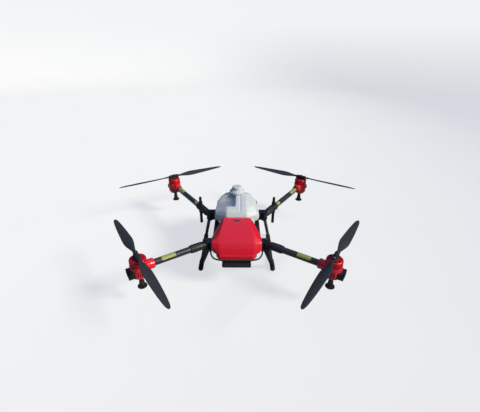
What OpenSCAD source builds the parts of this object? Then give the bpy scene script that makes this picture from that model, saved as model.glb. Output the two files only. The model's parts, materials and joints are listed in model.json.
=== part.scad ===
// Agricultural spray drone: a four-arm airframe with a lift-out tank, folding
// arms, two-blade folding propellers and a spinning-disc spray nozzle under
// each motor.  Millimetres, +Z up, nose towards -Y, skids standing on Z = 0.

/* [Layout] */
// Sideways distance from the centre line to each motor axis
motor_x = 550; // [540:1:600]
// Fore-and-aft distance from the rotor centre to each motor axis
motor_y = 550; // [540:1:600]
// Height of the arm tubes' centre line above the ground
arm_z = 285; // [280:1:300]
// Distance of the front folding hinges from the centre line
front_hinge_x = 190; // [188:1:194]
// How far the front folding hinges lie ahead of the rotor centre
front_hinge_y = 321; // [316:1:324]
// Distance of the rear folding hinges from the centre line
rear_hinge_x = 200; // [196:1:206]
// How far the rear folding hinges lie behind the rotor centre
rear_hinge_y = 45; // [40:1:50]

/* [Arms] */
// Outside diameter of the carbon arm tubes
arm_tube_d = 40; // [38:1:42]
// Wall thickness of the carbon arm tubes
arm_tube_wall = 2; // [1.5:0.5:3]
// Diameter of the hinge bolts
hinge_bolt_d = 12; // [10:1:14]
// Outside diameter of the hinge knuckles
knuckle_d = 44; // [42:1:46]
// Thickness of each fork plate
fork_plate_t = 8; // [6:1:9]

/* [Propellers] */
// Diameter of the circle swept by the blade tips
prop_d = 914; // [860:2:914]
// Distance from the motor axis to each blade's folding pivot
blade_pivot = 30; // [29:1:33]
// Diameter of the blade pivot bolts
blade_bolt_d = 8; // [6:1:8]
// Height of the propeller plane above the arm centre line
prop_plane = 85; // [85:1:90]
// Parked angle of the front propellers from the sideways axis
front_prop_angle = 56; // [50:1:60]
// Parked angle of the rear propellers from the sideways axis
rear_prop_angle = 31; // [25:1:35]

/* [Motor pods] */
// Outside diameter of the red motor covers
pod_d = 100; // [96:1:104]
// Outside diameter of the turning motor bells
bell_d = 96; // [90:1:96]
// Diameter of the spinning spray discs
disc_d = 57; // [50:1:60]

/* [Body] */
// Distance from the centre line to the outside face of each side rail
rail_outer_x = 154; // [152:1:155]
// Width of the side rails
rail_w = 24; // [20:1:24]
// Height of the side rails
rail_h = 30; // [26:1:32]
// Width of the tank's upper body
tank_w = 310; // [300:2:312]
// Width of the flat panel that runs over the tank's front and top
tank_panel_w = 132; // [120:2:140]
// Height of the filler cap's top above the ground
cap_top_z = 492; // [486:1:500]
// Wall thickness of the moulded tank
tank_wall = 4; // [3:0.5:5]
// Wall thickness of the nose cowl
cowl_wall = 3; // [2:0.5:4]

/* [Landing gear] */
// Distance from the centre line to each skid tube
skid_x = 250; // [240:1:260]
// Outside diameter of the skid tubes
skid_d = 24; // [20:1:26]
// Outside diameter of the rubber skid feet
foot_d = 34; // [32:1:36]

/* [Hidden] */
$fn = 48;
SIDES = [-1, 1];
ARMS = ["fl", "fr", "rl", "rr"];
ARM_PARTS = [
    "arm_root", "arm_tube", "pod_shell", "pod_base", "motor_stator",
    "rotor", "blade_a", "blade_b", "nozzle", "spray_disc"
];
BODY_NODES = [
    "frame_rails", "frame_cross_tubes", "belly_pan", "nose_cowl", "front_radar",
    "front_hoop", "tank", "tank_cap", "battery", "battery_handle",
    "flight_controller", "pump_body", "filler_neck", "liquid_hoses", "front_legs",
    "skid_tubes", "skid_caps", "antenna_left", "antenna_right", "hinge_bolts"
];

// The origin is the middle of the whole footprint, which lies a little ahead
// of the rotor centre because the front blades reach further forwards.
prop_r = prop_d / 2;
rotor_centre_y = prop_r * (sin(front_prop_angle) - sin(rear_prop_angle)) / 2;

// Running clearances on radius, and the seat gap under lift-out parts
run_gap = 0.05;
seat_gap = 0.3;

// Airframe levels
rail_z = arm_z;
rail_inner_x = rail_outer_x - rail_w;
rail_front_y = -front_hinge_y - 32;
rail_rear_y = 235;
pan_floor_z = 222;
pan_floor_t = 4;
pan_half_w = rail_inner_x - 2;
pan_front_y = -345;
pan_rear_y = 330;
floor_top_z = pan_floor_z + pan_floor_t;

// Folding hinges
knuckle_r = knuckle_d / 2;
knuckle_h = 43.6;
fork_gap = 44;
fork_r = knuckle_r + 2;
bolt_r = hinge_bolt_d / 2;
bolt_head_r = 11;
bolt_head_h = 8;

// Arm tubes, measured outwards from their hinges
tube_r = arm_tube_d / 2;
sleeve_r = tube_r + 6;
sleeve_start = 34;
tube_start = 60;
sleeve_end = 112;
tube_end_gap = 45;

// Motor pods, measured from the motor axis and the arm centre line
pod_r = pod_d / 2;
pod_wall = 3;
pod_top = 28;
pod_bottom = -44;
pod_tail = -62;
bell_r = bell_d / 2;
bell_bottom = 31;
bell_top = 69;
bell_wall = 3.5;
shaft_r = 6;
blade_t = 10;
blade_bottom = prop_plane - blade_t / 2;
blade_top = prop_plane + blade_t / 2;
hub_r = 13;
hub_plate_t = 5;
eye_r = 13;
blade_bolt_r = blade_bolt_d / 2;
collar_end = 86;
nozzle_top = pod_tail + 8;
nozzle_bottom = -119;
disc_r = disc_d / 2;

// Blade stations: share of the blade's length, chord, pitch angle, thickness
BLADE_STATIONS = [
    [0.04, 22, 16, 9],
    [0.14, 36, 18, 8],
    [0.30, 60, 16, 6.5],
    [0.50, 55, 12, 5],
    [0.70, 46, 9, 4],
    [0.86, 36, 7, 3.2],
    [0.96, 25, 6, 2.6],
    [1.00, 9, 6, 2]
];
BLADE_SIDES = 12;

// Tank levels
tank_front_y = -148;
tank_rear_y = 248;
wing_z = 322;
tub_half_w = pan_half_w - 6;
tub_front_y = tank_front_y + 2;
tub_rear_y = 150;
neck_y = 95;
neck_r = 30;
neck_top_z = 470;
tank_top_z = 440;
cap_r = 54;

// Nose cowl stations
cowl_rear_y = -152;
cowl_crown_y = -280;
cowl_brow_y = -350;
cowl_cheek_y = -362;
cowl_lip_y = -408;

function is_left(a) = a[1] == "l";
function is_front(a) = a[0] == "f";
function hinge_x(a) = is_front(a) ? front_hinge_x : rear_hinge_x;
function hinge_y(a) = is_front(a) ? -front_hinge_y : rear_hinge_y;
function hub_y(a) = is_front(a) ? -motor_y : motor_y;
function arm_dx(a) = motor_x - hinge_x(a);
function arm_dy(a) = hub_y(a) - hinge_y(a);
function arm_length(a) = sqrt(arm_dx(a) * arm_dx(a) + arm_dy(a) * arm_dy(a));
function arm_angle(a) = atan2(arm_dy(a), arm_dx(a));
function prop_angle(a) = is_front(a) ? front_prop_angle : 180 - rear_prop_angle;

// Places parts designed about the rotor centre in the object's own frame
module airframe() {
    translate([0, rotor_centre_y, 0]) children();
}

// Arms are designed on the right-hand side and mirrored for the left
module arm_side(a) {
    airframe() mirror([is_left(a) ? 1 : 0, 0, 0]) children();
}

// Frame of one arm: origin on the hinge axis, X along the tube to the motor
module arm_frame(a) {
    arm_side(a)
        translate([hinge_x(a), hinge_y(a), arm_z])
            rotate([0, 0, arm_angle(a)])
                children();
}

// Frame of one pod: origin on the motor axis, X pointing outwards
module pod_frame(a) {
    arm_frame(a) translate([arm_length(a), 0, 0]) children();
}

// Frame of one propeller: X along its first blade
module prop_frame(a) {
    arm_side(a)
        translate([motor_x, hub_y(a), arm_z])
            rotate([0, 0, prop_angle(a)])
                children();
}

module both_sides() {
    for (s = SIDES) {
        mirror([s < 0 ? 1 : 0, 0, 0]) children();
    }
}

module tube_z(outer_r, inner_r, z0, z1) {
    difference() {
        translate([0, 0, z0]) cylinder(r = outer_r, h = z1 - z0);
        translate([0, 0, z0 - 1]) cylinder(r = inner_r, h = z1 - z0 + 2);
    }
}

module rod_x(r, x0, x1) {
    translate([x0, 0, 0]) rotate([0, 90, 0]) cylinder(r = r, h = x1 - x0);
}

module rod_y(r, y0, y1) {
    translate([0, y1, 0]) rotate([90, 0, 0]) cylinder(r = r, h = y1 - y0);
}

// A straight round bar between two points, tapered when r2 differs from r1
module bar(p, q, r1, r2) {
    v = q - p;
    translate(p)
        rotate([0, acos(v[2] / norm(v)), atan2(v[1], v[0])])
            cylinder(r1 = r1, r2 = r2, h = norm(v));
}

function unit(v) = v / norm(v);

// A route with each corner turned into a smooth bend that starts and ends at
// most one bend length away from it
function smooth_route(route, bend, steps) = [
    route[0],
    for (i = [1 : len(route) - 2])
        let (
            before = route[i - 1] - route[i],
            after = route[i + 1] - route[i],
            start = route[i] + unit(before) * min(bend, norm(before) * 0.45),
            end = route[i] + unit(after) * min(bend, norm(after) * 0.45)
        )
        for (k = [0 : steps])
            let (t = k / steps)
            start * (1 - t) * (1 - t) + route[i] * 2 * t * (1 - t) + end * t * t,
    route[len(route) - 1]
];

function route_heading(route, i) =
    unit(route[min(i + 1, len(route) - 1)] - route[max(i - 1, 0)]);

function tube_ring(centre, heading, r, sides) =
    let (across = unit(cross(heading, [0, 0, 1])), up = cross(across, heading))
    [
        for (k = [0 : sides - 1])
            centre + r * (across * cos(360 * k / sides) + up * sin(360 * k / sides))
    ];

// Triangles of a skin through a run of rings, closed at both ends
function skin_faces(rings, sides) = concat(
    [for (k = [1 : sides - 2]) [0, k + 1, k]],
    [
        for (i = [0 : rings - 2], k = [0 : sides - 1])
            each [
                [i * sides + k, i * sides + (k + 1) % sides, (i + 1) * sides + k],
                [
                    i * sides + (k + 1) % sides,
                    (i + 1) * sides + (k + 1) % sides,
                    (i + 1) * sides + k
                ]
            ]
    ],
    [for (k = [1 : sides - 2]) [for (c = [0, k, k + 1]) (rings - 1) * sides + c]]
);

// A bent round bar or hose along a route
module bent_bar(route, r, bend) {
    sides = 12;
    path = smooth_route(route, bend, 4);
    rings = [for (i = [0 : len(path) - 1]) tube_ring(path[i], route_heading(path, i), r, sides)];
    polyhedron([for (ring = rings) each ring], skin_faces(len(rings), sides));
}

module centred_box(x, y0, y1, z0, z1) {
    translate([-x, y0, z0]) cube([2 * x, y1 - y0, z1 - z0]);
}

module rounded_rect(w, h, r) {
    for (x = [-1, 1], y = [-1, 1]) {
        translate([x * (w / 2 - r), y * (h / 2 - r)]) circle(r = r);
    }
    square([w - 2 * r, h], center = true);
    square([w, h - 2 * r], center = true);
}

// ---- Arms ---------------------------------------------------------------

module arm_root(a) {
    color("#202226") arm_frame(a) difference() {
        union() {
            translate([0, 0, -knuckle_h / 2]) cylinder(r = knuckle_r, h = knuckle_h);
            rod_x(tube_r - 1, 0, sleeve_start + 1);
            rod_x(sleeve_r, sleeve_start, sleeve_end);
            rod_x(sleeve_r + 3, sleeve_end - 16, sleeve_end - 4);
        }
        translate([0, 0, -knuckle_h]) cylinder(r = bolt_r + run_gap, h = 2 * knuckle_h);
        rod_x(tube_r + run_gap, tube_start, sleeve_end + 1);
    }
}

module arm_tube(a) {
    color("#2f3439") arm_frame(a) difference() {
        rod_x(tube_r, tube_start, arm_length(a) - tube_end_gap);
        rod_x(tube_r - arm_tube_wall, tube_start - 1, arm_length(a) - tube_end_gap + 1);
    }
}

// ---- Motor pods ---------------------------------------------------------

module heat_sink_block() {
    difference() {
        translate([24, -36, -44]) cube([45, 72, 46]);
        for (i = [0 : 6]) {
            translate([57, -33 + i * 10, -50]) cube([20, 6, 60]);
        }
    }
}

module pod_base(a) {
    color("#1b1c1e") pod_frame(a) difference() {
        union() {
            translate([0, 0, pod_bottom + 2]) cylinder(r = 40, h = pod_top - pod_bottom - 8);
            translate([0, 0, pod_top - 6]) cylinder(r = 44, h = 6);
            rod_x(tube_r + 6, -collar_end + 6, -30);
            heat_sink_block();
        }
        rod_x(tube_r + run_gap, -110, -tube_end_gap + 5);
        translate([0, 0, -20]) cylinder(r = shaft_r + 6, h = 60);
        translate([0, 0, pod_bottom]) cylinder(r = 15, h = 20);
    }
}

module pod_cover_profile(inset) {
    polygon([
        [0, pod_tail + inset],
        [30 - inset, pod_tail + inset],
        [pod_r - inset, pod_bottom + inset / 2],
        [pod_r - inset, pod_top + (inset > 0 ? 1 : 0)],
        [0, pod_top + (inset > 0 ? 1 : 0)]
    ]);
}

module pod_shell(a) {
    collar_r = tube_r + 10;
    color("#c9252f") pod_frame(a) difference() {
        union() {
            rotate_extrude() pod_cover_profile(0);
            rod_x(collar_r, -collar_end, -30);
        }
        rotate_extrude() pod_cover_profile(pod_wall);
        rod_x(collar_r - 3.5, -collar_end + 4, -30);
        rod_x(tube_r + 0.6, -collar_end - 1, -30);
        translate([23, -37, -45]) cube([60, 74, 48]);
        translate([0, 0, pod_tail - 1]) cylinder(r = 15.5, h = 10);
    }
}

module motor_stator(a) {
    slots = 12;
    color("#8d5a34") pod_frame(a) difference() {
        union() {
            tube_z(41, 26, pod_top + 6, bell_top - 11);
            tube_z(27, shaft_r + run_gap, pod_top, bell_top - 10);
        }
        for (i = [0 : slots - 1]) {
            rotate([0, 0, i * 360 / slots]) translate([30, -2.5, pod_top + 5]) cube([14, 5, 30]);
        }
    }
}

module hub_plate(z, t) {
    translate([0, 0, z]) linear_extrude(t) {
        for (s = SIDES) {
            translate([s * blade_pivot, 0]) circle(r = eye_r);
        }
        square([2 * blade_pivot, 2 * hub_r], center = true);
    }
}

// Motor bell, shaft and propeller clamp, which turn as one
module rotor(a) {
    bell_profile = [
        [0, bell_top], [bell_r - 9, bell_top], [bell_r - 3, bell_top - 3],
        [bell_r, bell_top - 9], [bell_r, bell_bottom], [bell_r - bell_wall, bell_bottom],
        [bell_r - bell_wall, bell_top - 7], [0, bell_top - 7]
    ];
    color("#b81f2b") prop_frame(a) {
        rotate_extrude() polygon(bell_profile);
        translate([0, 0, -8]) cylinder(r = shaft_r, h = bell_top + 4);
        translate([0, 0, bell_top - 1])
            cylinder(r = 20, h = blade_bottom - hub_plate_t - 0.1 - bell_top + 1.5);
        hub_plate(blade_bottom - hub_plate_t - 0.1, hub_plate_t);
        hub_plate(blade_top + 0.1, hub_plate_t);
        translate([0, 0, blade_bottom - 3]) cylinder(r = hub_r, h = blade_t + 6);
        for (s = SIDES) {
            translate([s * blade_pivot, 0, blade_bottom - 3])
                cylinder(r = blade_bolt_r, h = blade_t + 6);
        }
        translate([0, 0, blade_top + 2]) cylinder(r = 10, h = 9);
    }
}

// One ring of points round the blade's section at a station
function blade_ring(st, reach) = [
    for (k = [0 : BLADE_SIDES - 1])
        let (
            turn = -360 * k / BLADE_SIDES,
            across = st[1] / 2 * cos(turn),
            up = st[3] / 2 * sin(turn)
        )
        [
            st[0] * reach,
            across * cos(st[2]) - up * sin(st[2]),
            across * sin(st[2]) + up * cos(st[2])
        ]
];

// One folding blade along X from its pivot, with its drilled root eye
module folding_blade(handed) {
    reach = prop_r - blade_pivot;
    points = [for (st = BLADE_STATIONS) each blade_ring(st, reach)];
    faces = skin_faces(len(BLADE_STATIONS), BLADE_SIDES);
    difference() {
        union() {
            mirror([0, handed < 0 ? 1 : 0, 0])
                polyhedron(points, faces);
            translate([0, 0, -blade_t / 2]) cylinder(r = eye_r - 0.5, h = blade_t);
            translate([0, -9, -blade_t / 2 + 1]) cube([reach * 0.09, 18, blade_t - 2]);
        }
        translate([0, 0, -blade_t]) cylinder(r = blade_bolt_r + run_gap, h = 2 * blade_t);
    }
}

module blade(a, half_turn) {
    color("#3a3d42") prop_frame(a)
        rotate([0, 0, half_turn])
            translate([blade_pivot, 0, prop_plane])
                folding_blade(is_front(a) ? 1 : -1);
}

// ---- Spray nozzles ------------------------------------------------------

module nozzle(a) {
    color("#2b2622") pod_frame(a) difference() {
        union() {
            translate([0, 0, nozzle_bottom + 26])
                cylinder(r = 13, h = pod_bottom + 20 - nozzle_bottom - 26);
            translate([0, 0, nozzle_bottom]) cylinder(r = 17, h = 30);
            rotate([0, 0, 90]) translate([0, 0, nozzle_bottom + 20]) rod_x(4, 0, 24);
        }
        translate([0, 0, nozzle_bottom - 1]) cylinder(r = 3 + run_gap, h = 24);
    }
}

module spray_disc(a) {
    disc_profile = [
        [0, -1], [7, -1], [7, -4], [disc_r - 3, -10], [disc_r, -9],
        [disc_r, -12], [disc_r - 3, -16], [8, -16], [0, -18]
    ];
    color("#161718") pod_frame(a) translate([0, 0, nozzle_bottom]) {
        rotate_extrude() polygon(disc_profile);
        translate([0, 0, -2]) cylinder(r = 3, h = 22);
    }
}

// ---- Airframe -----------------------------------------------------------

module fork_plate(x, z) {
    translate([0, 0, z]) linear_extrude(fork_plate_t) difference() {
        union() {
            circle(r = fork_r);
            translate([rail_outer_x - x - 0.5, -fork_r]) square([x - rail_outer_x, 2 * fork_r]);
        }
        circle(r = bolt_r);
    }
}

module fork(x, y) {
    translate([x, y, arm_z]) {
        fork_plate(x, fork_gap / 2);
        fork_plate(x, -fork_gap / 2 - fork_plate_t);
    }
    translate([rail_outer_x - 6, y - fork_r, arm_z - fork_gap / 2 - fork_plate_t])
        cube([x - knuckle_r - 2 - rail_outer_x + 6, 2 * fork_r, fork_gap + 2 * fork_plate_t]);
}

module rail_section() {
    web = 8;
    flange = 7;
    square([web, rail_h], center = true);
    for (s = SIDES) {
        translate([0, s * (rail_h - flange) / 2]) square([rail_w, flange], center = true);
    }
}

module frame_rails() {
    color("#26292e") airframe() both_sides() {
        translate([rail_outer_x - rail_w / 2, rail_rear_y, rail_z])
            rotate([90, 0, 0])
                linear_extrude(rail_rear_y - rail_front_y)
                    rail_section();
        fork(front_hinge_x, -front_hinge_y);
        fork(rear_hinge_x, rear_hinge_y);
    }
}

module frame_cross_tubes() {
    tube_y = [-335, -168];
    color("#2f3439") airframe() for (y = tube_y) {
        translate([0, y, rail_z]) {
            rod_x(7.5, -rail_inner_x - 7, rail_inner_x + 7);
        }
    }
}

module hinge_bolt() {
    translate([0, 0, -fork_gap / 2 - fork_plate_t + 1])
        cylinder(r = bolt_r, h = fork_gap + 2 * fork_plate_t);
    translate([0, 0, fork_gap / 2 + fork_plate_t]) cylinder(r = bolt_head_r, h = bolt_head_h, $fn = 6);
}

module hinge_bolts() {
    color("#8a8f96") for (a = ARMS) {
        arm_side(a) translate([hinge_x(a), hinge_y(a), arm_z]) hinge_bolt();
    }
}

// Moulded floor tray between the rails, with bosses for bolted accessories
module belly_pan() {
    wall = 4;
    flange_z = rail_z - rail_h / 2;
    hole_x = 50;
    hole_y = 40;
    boss_z = pan_floor_z - 14;
    color("#1d1f22") airframe() difference() {
        union() {
            centred_box(pan_half_w, pan_front_y, pan_rear_y, pan_floor_z, floor_top_z);
            both_sides() {
                translate([pan_half_w - wall, pan_front_y, pan_floor_z])
                    cube([wall, pan_rear_y - pan_front_y, flange_z - pan_floor_z]);
                translate([pan_half_w - wall, pan_front_y, flange_z - wall])
                    cube([rail_w, rail_rear_y - pan_front_y, wall]);
            }
            centred_box(88, -392, pan_front_y + 1, pan_floor_z, floor_top_z);
            for (x = SIDES, y = SIDES) {
                translate([x * hole_x, y * hole_y, boss_z]) cylinder(r = 8, h = floor_top_z - boss_z);
            }
        }
        for (x = SIDES, y = SIDES) {
            translate([x * hole_x, y * hole_y, boss_z - 1]) cylinder(r = 2.7, h = 13);
        }
    }
}

// ---- Nose ---------------------------------------------------------------

// Solid nose form: the inset draws its walls in and opens it downwards and
// rearwards, so that the difference of two forms is a thin shell
module nose_form(inset) {
    back = inset > 0 ? 5 : 0;
    drop = inset > 0 ? 8 : 0;
    hull() {
        centred_box(88 - inset, cowl_rear_y - 6, cowl_rear_y + back, 350, 377 - inset);
        centred_box(114 - inset, cowl_rear_y - 20, cowl_rear_y + back, 310 - drop, 340 - inset);
        centred_box(92 - inset, cowl_crown_y + 48, cowl_crown_y + 68, 310, 371 - inset);
        centred_box(97 - inset, cowl_crown_y, cowl_crown_y + 20, 310, 357.5 - inset);
        centred_box(100 - inset, cowl_crown_y - 50, cowl_crown_y - 30, 310, 338 - inset);
        centred_box(158 - inset, cowl_brow_y, cowl_brow_y + 52, 312 - drop, 322 - inset);
        centred_box(158 - inset, cowl_cheek_y + inset, cowl_cheek_y + 10, 266 - drop, 306);
        centred_box(104 - inset, cowl_cheek_y - 4 + inset, cowl_cheek_y + 8, 266 - drop, 315 - inset);
        centred_box(104 - inset, cowl_cheek_y - 24 + inset, cowl_cheek_y, 266 - drop, 288 - inset);
        centred_box(103 - inset, cowl_lip_y + inset + 4, cowl_lip_y + 20, 250, 262 - inset);
    }
    hull() {
        centred_box(128 - inset, cowl_cheek_y - 4, cowl_cheek_y + 12, 236 - drop, 290);
        centred_box(102 - inset, cowl_lip_y + inset, cowl_lip_y + 20, 220 - drop, 256 - inset);
    }
}

module nose_cowl() {
    notch_front = front_hinge_y + fork_r + 3;
    notch_rear = front_hinge_y - fork_r - 3;
    fork_top_z = arm_z + fork_gap / 2 + fork_plate_t + 2.5;
    rail_top_z = rail_z + rail_h / 2 + 3;
    color("#c8213b") airframe() difference() {
        nose_form(0);
        nose_form(cowl_wall);
        both_sides() {
            translate([rail_inner_x - 2, -notch_front, 200])
                cube([60, notch_front - notch_rear, fork_top_z - 200]);
            translate([rail_inner_x - 2, -notch_rear - 1, 200])
                cube([60, 240, rail_top_z - 200]);
        }
    }
}

module front_radar() {
    color("#1a1a17") airframe() {
        translate([0, -384, 0]) rotate([90, 0, 0]) linear_extrude(38)
            translate([0, 196]) rounded_rect(180, 36, 10);
        centred_box(40, -404, -364, 208, pan_floor_z);
    }
}

module front_hoop() {
    side = [[162, -347, arm_z - 27], [160, -384, 256], [142, -414, 242], [96, -421, 234]];
    left = [for (p = side) [-p[0], p[1], p[2]]];
    right = [for (i = [len(side) - 1 : -1 : 0]) side[i]];
    color("#17181b") airframe() bent_bar(concat(left, right), 5, 18);
}

module flight_controller() {
    color("#3b4048") airframe() {
        translate([-10, -322, floor_top_z]) cube([96, 84, 30]);
        for (i = [0 : 3]) {
            translate([-2 + i * 22, -330, floor_top_z + 6]) cube([14, 9, 12]);
        }
    }
}

// ---- Pump and hoses -----------------------------------------------------

pump_x = -62;
pump_z = floor_top_z + 36;

// A sealed diaphragm pump: motor can, pump head, ribbed clamp and one outlet
module pump_body() {
    color("#55595f") airframe() {
        translate([pump_x, 0, pump_z]) {
            rod_y(34, -300, -236);
            rod_y(22, -237, -196);
            translate([0, -268, 0]) rod_x(7, -46, -30);
        }
        translate([pump_x - 30, -296, floor_top_z]) cube([60, 56, 12]);
    }
}

module liquid_hoses() {
    low_z = pump_z - 8;
    route = [
        [pump_x - 46.2, -268, pump_z], [-117, -268, pump_z], [-117, -192, low_z],
        [-100, -182, low_z], [100, -182, low_z], [117, -196, low_z],
        [117, -284, low_z], [117, -314, rail_z], [rail_inner_x + 6, -316, rail_z]
    ];
    color("#3c4a5a") airframe() bent_bar(route, 6, 14);
}

// ---- Tank ---------------------------------------------------------------

// Solid form of the tank above the rails: a narrow central panel that runs up
// the front and over the top, with full sides swelling out from its edges.
// The inset draws the walls in.
module tank_upper(inset) {
    base = wing_z + inset;
    side = tank_w / 2 - inset;
    panel = tank_panel_w / 2 - inset;
    hull() {
        centred_box(panel + 4, tank_front_y + inset, tank_front_y + 20, base, 378 - inset);
        centred_box(panel + 2, tank_front_y + 18 + inset, -110, base, 401 - inset);
        centred_box(panel, tank_front_y + 52 + inset, -60, base, 423 - inset);
        centred_box(panel - 4, -40, 80, base, tank_top_z - inset);
        centred_box(panel, 80, 128 - inset, base, 428 - inset);
        centred_box(side - 43, -60, 90, base, 418 - inset);
        centred_box(side - 21, -72, 74, base, 394 - inset);
        centred_box(side - 8, tank_front_y + 56 + inset, 40, base, 364 - inset);
        centred_box(side, -64, 10, base, 345 - inset);
        centred_box(side - 19, 0, 92, base, 382 - inset);
        centred_box(side - 55, 100, 172 - inset, base, 386 - inset);
        centred_box(side - 71, 100, 172 - inset, base, 402 - inset);
        centred_box(side - 95, 180, tank_rear_y - inset, base, 342 - inset);
    }
}

module tank() {
    color("#d9dee3") airframe() difference() {
        union() {
            tank_upper(0);
            centred_box(tub_half_w, tub_front_y, tub_rear_y, floor_top_z + seat_gap, wing_z + 1);
        }
        tank_upper(tank_wall);
        centred_box(
            tub_half_w - tank_wall, tub_front_y + tank_wall, tub_rear_y - tank_wall,
            floor_top_z + seat_gap + tank_wall, wing_z + tank_wall + 1
        );
        translate([0, neck_y, tank_top_z - 24]) cylinder(r = neck_r + 0.1, h = 80);
    }
}

// Collar welded into the hole in the tank's top, for the cap
module filler_neck() {
    color("#d9dee3") airframe() translate([0, neck_y, 0])
        tube_z(neck_r, neck_r - tank_wall, tank_top_z - 18, neck_top_z);
}

module tank_cap() {
    grips = 16;
    skirt_z = tank_top_z + 3;
    crown_r = 31;
    color("#b9bfc6") airframe() translate([0, neck_y, 0]) difference() {
        union() {
            translate([0, 0, skirt_z]) cylinder(r = cap_r, h = 14);
            translate([0, 0, skirt_z + 13.5]) cylinder(r1 = cap_r - 3, r2 = crown_r + 8, h = 14);
            translate([0, 0, skirt_z + 27]) cylinder(r = crown_r + 3, h = cap_top_z - skirt_z - 32);
            translate([0, 0, cap_top_z - 5.5]) cylinder(r1 = crown_r + 3, r2 = crown_r - 3, h = 5.5);
        }
        translate([0, 0, skirt_z - 1]) cylinder(r = neck_r + 0.3, h = neck_top_z + 1.5 - skirt_z);
        for (i = [0 : grips - 1]) {
            rotate([0, 0, i * 360 / grips])
                translate([cap_r + 1, 0, skirt_z - 1])
                    cylinder(r = 4, h = 16, $fn = 24);
        }
    }
}

// ---- Battery ------------------------------------------------------------

battery_front_y = 156;
battery_rear_y = 306;
battery_top_z = 312;
handle_z = battery_top_z - 14;
handle_y = battery_rear_y + 8;

module battery() {
    half_w = 90;
    color("#2a2c30") airframe() {
        difference() {
            centred_box(half_w, battery_front_y, battery_rear_y, floor_top_z + seat_gap, battery_top_z);
            for (i = [0 : 5]) {
                centred_box(
                    half_w + 1, battery_front_y + 16 + i * 20, battery_front_y + 22 + i * 20,
                    battery_top_z - 3, battery_top_z + 1
                );
            }
        }
        for (x = [-62, 62]) {
            translate([x - 5, battery_rear_y - 1, handle_z - 8]) difference() {
                cube([10, 17, 16]);
                translate([-1, 9, 8]) rod_x(3 + run_gap, 0, 12);
            }
        }
    }
}

module battery_handle() {
    color("#17181b") airframe() translate([0, handle_y, handle_z]) {
        rod_x(3, -70, 70);
        for (x = [-46, 46]) {
            translate([x - 5, -4, -46]) cube([10, 8, 48]);
        }
        translate([0, 0, -46]) rod_x(7, -51, 51);
    }
}

// ---- Landing gear -------------------------------------------------------

skid_z = foot_d / 2;
skid_front_y = -238;
skid_rear_y = 205;
skid_leg_y = -212;

module front_legs() {
    flange_z = arm_z - fork_gap / 2 - fork_plate_t;
    color("#24282f") airframe() both_sides() {
        translate([front_hinge_x, -front_hinge_y, flange_z - 16]) cylinder(r = 23, h = 16);
        difference() {
            union() {
                bar([front_hinge_x, -front_hinge_y, flange_z - 14], [skid_x, skid_leg_y, skid_z + 14], 22, 15);
                translate([skid_x, 0, skid_z]) rod_y(skid_d / 2 + 5, skid_leg_y - 17, skid_leg_y + 17);
            }
            translate([skid_x, 0, skid_z]) rod_y(skid_d / 2 + run_gap, skid_front_y - 30, skid_leg_y + 60);
        }
    }
}

// Bent tubes: a level run on the ground and a rising rear leg on each side
module skid_tubes() {
    flange_z = arm_z - fork_gap / 2 - fork_plate_t;
    leg_top = [rear_hinge_x + 6, rear_hinge_y + 6, flange_z - 13];
    color("#24282f") airframe() both_sides() {
        translate([skid_x, 0, skid_z]) rod_y(skid_d / 2, skid_front_y, skid_rear_y);
        translate([skid_x, skid_rear_y, skid_z]) sphere(r = skid_d / 2, $fn = 32);
        bar([skid_x, skid_rear_y, skid_z], leg_top, skid_d / 2, skid_d / 2);
        translate([rear_hinge_x, rear_hinge_y, flange_z - 14]) cylinder(r = 20, h = 14);
    }
}

module skid_foot(y0, y1) {
    difference() {
        union() {
            translate([skid_x, 0, skid_z]) rod_y(foot_d / 2, y0, y1);
            translate([skid_x - 11, y0, 0]) cube([22, y1 - y0, skid_z]);
        }
        translate([skid_x, 0, skid_z]) rod_y(skid_d / 2 + run_gap, y0 - 1, y1 + 1);
    }
}

module skid_caps() {
    color("#3a3c33") airframe() both_sides() {
        skid_foot(skid_leg_y + 18, skid_leg_y + 64);
        skid_foot(skid_rear_y - 80, skid_rear_y - 32);
        translate([skid_x, 0, skid_z]) difference() {
            rod_y(foot_d / 2, skid_front_y - 10, skid_front_y + 7);
            rod_y(skid_d / 2 + run_gap, skid_front_y - 0.1, skid_front_y + 8);
        }
    }
}

// ---- Antennas on the rear arms -------------------------------------------

module antenna(a) {
    mast_x = 138;
    mast_r = 11;
    color("#141619") arm_frame(a) translate([mast_x, 0, 0]) difference() {
        union() {
            rod_x(tube_r + 7, -26, 26);
            translate([0, 0, -135]) cylinder(r = mast_r, h = 222);
            translate([0, 0, -44]) cylinder(r = mast_r + 4, h = 90);
        }
        rod_x(tube_r + run_gap, -27, 27);
    }
}

// ---- Nodes --------------------------------------------------------------

frame_rails();
frame_cross_tubes();
belly_pan();
nose_cowl();
front_radar();
front_hoop();
tank();
tank_cap();
battery();
battery_handle();
flight_controller();
pump_body();
filler_neck();
liquid_hoses();
front_legs();
skid_tubes();
skid_caps();
antenna("rl");  // antenna_left
antenna("rr");  // antenna_right
hinge_bolts();
for (a = ARMS) {
    arm_root(a);
    arm_tube(a);
    pod_shell(a);
    pod_base(a);
    motor_stator(a);
    rotor(a);
    blade(a, 0);
    blade(a, 180);
    nozzle(a);
    spray_disc(a);
}
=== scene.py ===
"""Looks of an agricultural spray drone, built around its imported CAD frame.

Metres, +Z up, nose towards -Y.  Pieces of the central airframe are drawn about the rotor
centre and placed by AIRFRAME; each arm, pod and propeller has a frame of its own, so a piece
is drawn once and placed four times, with its Y mirrored on the left-hand arms.
"""

import json
import math

import bmesh
import bpy
from mathutils import Matrix, Vector


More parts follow.
